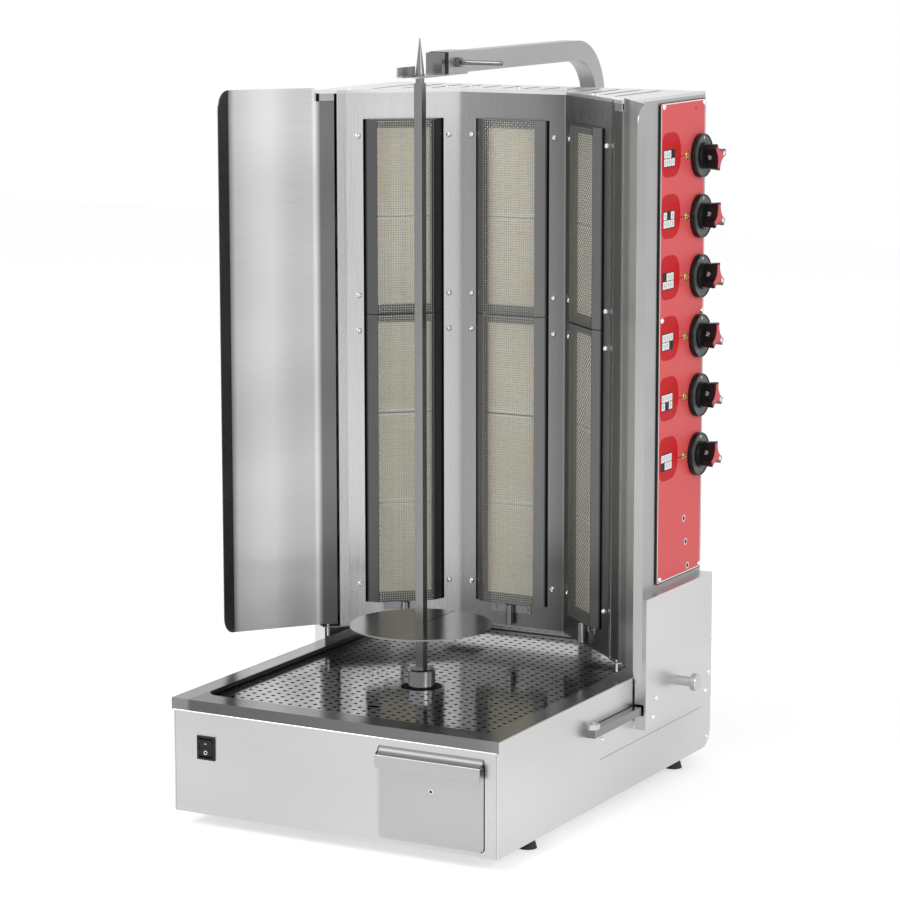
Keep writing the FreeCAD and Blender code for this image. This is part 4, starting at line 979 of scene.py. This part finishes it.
def makeDials():
    # black bezels with a rounded rim round a dished grey dial that has a white mark at its top
    radius, thick, bore = knobs["bezelRadius"], knobs["bezelThick"], knobs["boreRadius"]
    floor, segments = thick - knobs["dialDepth"], knobs["bezelSegments"]
    bezel = turned(((bore, 0.05), (radius - 0.6, 0.05), (radius, 0.7), (radius, thick - 1.6),
                    (radius - 0.4, thick - 0.6), (radius - 1.2, thick),
                    (radius - 2.0, thick - 0.4), (radius - 2.4, floor), (bore, floor - 2.0),
                    (bore, 0.05)), segments)
    dial = turned(((bore, floor - 2.2), (radius - 2.3, floor - 0.2), (radius - 2.6, floor + 0.2),
                   (bore + 6, floor - 1.2), (bore, floor - 1.9), (bore, floor - 2.2)), segments)
    mark = plateRings(roundedBox(1.3, 2.0, 0.9, 5),
                      ((0, -0.3), (1, -0.3), (1, 0.5), (0.9, 0.7), (0, 0.7)))
    face = panel["face"]
    bezels = atKnobs(bezel, knobs["y"], 0, face)
    piece = makePiece("knobBezelRings", bezels, "knob", "tower")
    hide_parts("knob_bezels")
    dials = atKnobs(dial, knobs["y"], 0, face)
    makePiece("knobDials", dials, "dial", "tower")
    whiteMarks = atKnobs(mark, knobs["y"], knobs["markRise"], face + floor)
    makePiece("dialMarks", whiteMarks, "white", "tower")


# Prints and a painted shadow edge on the red control panel

panel = {
    "face": 251.5,
    "y": (471.0, 623.0),
    "z": (275.5, 952.5),
    "corner": 4.5,
    "frontEdge": 4.0,
    "edgeWidth": 1.5,
    "edgeOver": 0.25,
    "edgeDepth": 1.4,
    "lineWidth": 1.7,
    "fieldY": 510.0,
    "fieldHalf": (30.5, 31.0),
    "fieldRise": 7.5,
    "fieldPowers": (5.0, 2.6),
    "cell": (11.9, 11.4),
    "cellGap": 0.45,
    "cellMargin": 0.9,
    "dash": (0.5, 2.4),
    "burnerY": 502.5,
    "burnerRise": 3.0,
    "lineY": (540.5, 554.0),
    "lineHalf": 0.45,
    "eyeletShape": ((3.3, -0.1), (3.4, 0.4), (4.2, 0.6), (4.9, 0.4), (5.0, -0.1), (3.3, -0.1)),
    "eyeletHole": ((0, 0.3), (3.32, 0.3), (3.32, -0.1), (0, -0.1)),
    "eyeletSpots": ((563.0, 357.0), (570.0, 322.0), (577.0, 286.0)),
    "dotSpot": (590.0, 940.0),
    "dotHalf": 1.6,
}


def frameShell(outer, inner, height, depth=0.1):
    # a ring between two outlines of the same number of points, with its outer wall reaching back
    def ring(outline, level):
        return np.concatenate([outline, np.full((len(outline), 1), level)], -1)
    return np.stack([ring(inner, -0.1), ring(outer, -depth), ring(outer, height),
                     ring(inner, height), ring(inner, -0.1)])


def panelOutline(frontInset, inset):
    # the panel's outline in (y, z) drawn in by an inset that differs at its front edge
    front, rear = panel["y"][0] + frontInset, panel["y"][1] - inset
    low, high = panel["z"][0] + inset, panel["z"][1] - inset
    outline = roundedBox((rear - front) / 2, (high - low) / 2, max(panel["corner"] - inset, 1.0))
    return outline + np.array([(front + rear) / 2, (low + high) / 2])


def fieldOutline(halfAcross, halfUp):
    # a superellipse, squarer in front: the powers of both half widths add up to one
    angle = fullTurn(96)
    cosine, sine = np.cos(angle), np.sin(angle)
    power = np.where(cosine < 0, *panel["fieldPowers"])
    return np.stack([halfAcross * np.sign(cosine) * np.abs(cosine) ** (2 / power),
                     halfUp * np.sign(sine) * np.abs(sine) ** (2 / power)], -1)


def label(outline, y, z, height):
    # a thin flat print of an outline, a little sunk into the panel
    shape = plateRings(outline, ((0, -0.1), (1, -0.1), (1, height), (0, height)))
    return onSide(shape, y, z, panel["face"])


def makePanelPrintAndShadow():
    # a dark edge all round, wider in front, as painted shadow in the gap round the panel, and a
    # white line inside it
    wide, line, over = panel["edgeWidth"], panel["lineWidth"], panel["edgeOver"]
    outer = panelOutline(-over, over)
    middle = panelOutline(panel["frontEdge"], wide)
    inner = panelOutline(panel["frontEdge"] + line, wide + line)
    shell = onSide(frameShell(outer, middle, 0.15, panel["edgeDepth"]), 0, 0, panel["face"])
    makePiece("panelBorder_paintedShadow", [shell], "ink", "tower", 30)
    shell = onSide(frameShell(middle, inner, 0.2), 0, 0, panel["face"])
    makePiece("panelBorder_white", [shell], "white", "tower", 30)

    heights = knobHeights()
    field = fieldOutline(*panel["fieldHalf"])
    fields = [label(field, panel["fieldY"], z + panel["fieldRise"], 0.15) for z in heights]
    makePiece("panelFields", fields, "deepRed", "tower", 30)

    # a two by three sign at each knob shows its burner dark; each layer lies over the last
    wide, tall = panel["cell"]
    gap, margin = panel["cellGap"], panel["cellMargin"]
    backing = roundedBox(wide * 1.5 + margin, tall + margin, 0.8, 3)
    cell = roundedBox(wide / 2 - gap, tall / 2 - gap, 0.5, 3)
    dash = roundedBox(*panel["dash"], 0.3, 3)
    line = roundedBox((panel["lineY"][1] - panel["lineY"][0]) / 2, panel["lineHalf"], 0.3, 3)
    lineMiddle = sum(panel["lineY"]) / 2
    dark, light, grey = [], [], []
    for index, z in enumerate(heights):
        base = z + panel["burnerRise"]
        dark.append(label(backing, panel["burnerY"], base, 0.25))
        for cellIndex in range(6):
            across, low = cellIndex % 3, cellIndex // 3
            spot = (panel["burnerY"] + (across - 1) * wide, base + (0.5 - low) * tall)
            if (2 - across, low) != (index % 3, index // 3):
                light.append(label(cell, *spot, 0.4))
                grey.append(label(dash, *spot, 0.5))
        dark.append(label(line, lineMiddle, z + bypass["rise"], 0.25))
    dot = roundedBox(panel["dotHalf"], panel["dotHalf"], 1.5, 5)
    dark.append(label(dot, *panel["dotSpot"], 0.2))
    makePiece("burnerSigns_ink", dark, "ink", "tower", 30)
    makePiece("burnerSigns_white", light, "white", "tower", 30)
    makePiece("burnerSigns_grey", grey, "dial", "tower", 30)

    ring, hole = turned(panel["eyeletShape"], 32), turned(panel["eyeletHole"], 32)
    rings = [onSide(ring, y, z, panel["face"]) for y, z in panel["eyeletSpots"]]
    holes = [onSide(hole, y, z, panel["face"]) for y, z in panel["eyeletSpots"]]
    makePiece("panelEyelets", rings, "screw", "tower")
    # the black discs are painted shade inside the eyelets' holes
    makePiece("panelEyeletHoles", holes, "ink", "tower")


# Drawer front

drawer = {
    "x": (72.0, 229.0),
    "lipTop": 122.0,
    "lipReach": 11.5,
    "coveTop": 132.0,
    "coveShort": 0.9,
    "coveSkin": (0.08, 0.2),
    "coveEnds": 0.2,
    "coveRise": 0.15,
    "coveSteps": 14,
    "gapOuter": (66.0, 236.0, 2.0, 131.0),
    "gapInner": (71.9, 232.0, 5.9, 127.2),
    "gapDepth": (0.35, 1.2),
    "corner": 8.0,
    "hole": (150.5, 78.5),
    "holeShape": ((0, 0.15), (2.0, 0.15), (2.0, -0.1), (0, -0.1)),
    "rimShape": ((2.02, -0.1), (2.1, 0.25), (3.3, 0.2), (3.6, -0.1), (2.02, -0.1)),
    "crease": 40,
}


def makeDrawerTrim():
    # cove from the front out to the lip: a quarter of an ellipse, carried along the width, in dark
    # steel as painted shade above the lip
    angle = np.linspace(0, math.pi / 2, drawer["coveSteps"])
    low, high = drawer["lipTop"] - 0.05, drawer["coveTop"]
    rise, ends = drawer["coveRise"], drawer["coveEnds"]
    back, front = drawer["coveSkin"]
    out = (drawer["lipReach"] - drawer["coveShort"]) * (1 - np.cos(angle))
    up = low + rise + (high - low) * (1 - np.sin(angle))
    y = np.concatenate([[-back, -front], -front - out[1:], [-front - out[-1], -back]])
    z = np.concatenate([[high + rise], up, [low, low]])
    left, right = drawer["x"][0] + ends, drawer["x"][1] - ends
    x = np.array([left, left, right, right])
    shell = np.stack(np.broadcast_arrays(x[:, None], y[None], z[None]), -1).copy()
    shell[0] = shell[0].mean(0)
    shell[-1] = shell[-1].mean(0)
    makePiece("drawerCove", [place(shell[..., 0], shell[..., 1], shell[..., 2])], "cove",
              "drawer", drawer["crease"])

    # the edge of the cabinet's front, closed up to the drawer at its left and below
    def outline(box):
        left, right, low, high = box
        ring = roundedBox((right - left) / 2, (high - low) / 2, drawer["corner"])
        return ring + np.array([(left + right) / 2, (low + high) / 2])
    near, far = drawer["gapDepth"]
    ring = frameShell(outline(drawer["gapOuter"]), outline(drawer["gapInner"]), far, -near)
    ring[[0, 4], :, 2] = near
    makePiece("drawerOpeningEdge", [place(ring[..., 0], ring[..., 2], ring[..., 1])],
              "cabinet", "base", drawer["crease"])

    # the small round hole, a black disc of painted shade, with its bright rim
    x, z = drawer["hole"]
    hole, rim = turned(drawer["holeShape"], 32), turned(drawer["rimShape"], 32)
    makePiece("drawerHole", [place(x + hole[..., 0], -hole[..., 2], z + hole[..., 1])],
              "ink", "drawer")
    makePiece("drawerHoleRim", [place(x + rim[..., 0], -rim[..., 2], z + rim[..., 1])],
              "white", "drawer")


# Painted highlight along the folded edge below the tray's lip

trayEdge = {
    "halfLength": 249.5,
    "front": -2.3,
    "bottom": 142.5,
    "radius": 0.85,
    "segments": 12,
}


def makeTrayEdge():
    # a thin round bead along the lip's lower edge, rounded at its ends, whose near-white steel is
    # a painted highlight
    half, radius = trayEdge["halfLength"], trayEdge["radius"]
    bend = np.linspace(0, math.pi / 2, 6)
    scale = np.concatenate([np.sin(bend), np.cos(bend)])
    along = np.concatenate([-half + radius * (1 - np.cos(bend)),
                            half - radius * (1 - np.sin(bend))])
    turn = fullTurn(trayEdge["segments"])
    y = trayEdge["front"] + radius * scale[:, None] * np.cos(turn)
    z = trayEdge["bottom"] + radius * scale[:, None] * np.sin(turn)
    shell = place(along[:, None], y, z)
    makePiece("trayLipHighlightEdge", [shell], "edge", "base", 60)


# Small marks on the switch and the cabinet, and the cover's rivets

marks = {
    "switch": (-198.0, 93.5),
    "rockerRadius": 13.2,
    "rockerPivot": 4.5,
    "rockerDip": 5.3,
    "rockerReach": 8.5,
    "zeroShape": ((1.9, -0.3), (1.9, 0.3), (2.8, 0.3), (2.8, -0.3), (1.9, -0.3)),
    "zeroRise": -6.2,
    "oneRise": 6.0,
    "seamY": (300.0, 632.0),
    "seamZ": 63.5,
    "rivetPairs": ((-116, 540), (-86, 557), (-13, 556), (59, 556), (208, 421), (-208, 421),
                   (150, 476)),
    "rivetApart": 3.6,
    "rivetShape": ((0, 1.6), (1.0, 1.5), (1.9, 1.0), (2.3, 0.2), (2.3, -0.1), (0, -0.1)),
    "coverTop": 961.5,
}


def makeSmallMarks():
    # a ring and a bar that lie on the two leaning halves of the rocker's hollow face
    x, z = marks["switch"]
    ring = turned(marks["zeroShape"], 32)
    bar = plateRings(roundedBox(2.0, 0.45, 0.3, 3), ((0, -0.3), (1, -0.3), (1, 0.3), (0, 0.3)))
    lean = math.atan2(marks["rockerReach"] - marks["rockerDip"], marks["rockerRadius"])
    shells = []
    for shape, rise in ((ring, marks["zeroRise"]), (bar, marks["oneRise"])):
        side = 1 if rise > 0 else -1
        depth = marks["rockerPivot"] - marks["rockerDip"] - abs(rise) * math.tan(lean)
        up = rise + shape[..., 1] * math.cos(lean)
        out = -depth + shape[..., 2] + side * shape[..., 1] * math.sin(lean)
        shells.append(place(x + shape[..., 0], -out, z + up))
    makePiece("switchMarks", shells, "white", "rocker")

    # a hair line along each side of the cabinet, and pairs of rivets along the cover's front
    half = (marks["seamY"][1] - marks["seamY"][0]) / 2
    middle = sum(marks["seamY"]) / 2
    line = plateRings(roundedBox(half, 0.35, 0.3, 3), ((0, -0.1), (1, -0.1), (1, 0.1), (0, 0.12)))
    seams = onBothSides(line, [(middle, marks["seamZ"])], screws["cabinetFace"])
    makePiece("cabinetSeamLines", seams, "hairLine", "base")

    head = turned(marks["rivetShape"], 16)
    rivets = []
    for x, y in marks["rivetPairs"]:
        for shift in (-marks["rivetApart"], marks["rivetApart"]):
            rivets.append(place(x + shift + head[..., 0], y + head[..., 1],
                                marks["coverTop"] + head[..., 2]))
    makePiece("coverRivets", rivets, "screw", "tower")


makeStudio()
makeCamera()
print("studio ready")
finishTable = makeFinishes()
dressNodes()
print("frame dressed")
makePerforatedPlate()
makeWireMeshes()
makeTileSeams()
print("plate and burners done")
makeScrews()
makeBypassScrews()
makeKnobs()
makeDials()
makePanelPrintAndShadow()
makeDrawerTrim()
makeTrayEdge()
makeSmallMarks()
print("small pieces done")
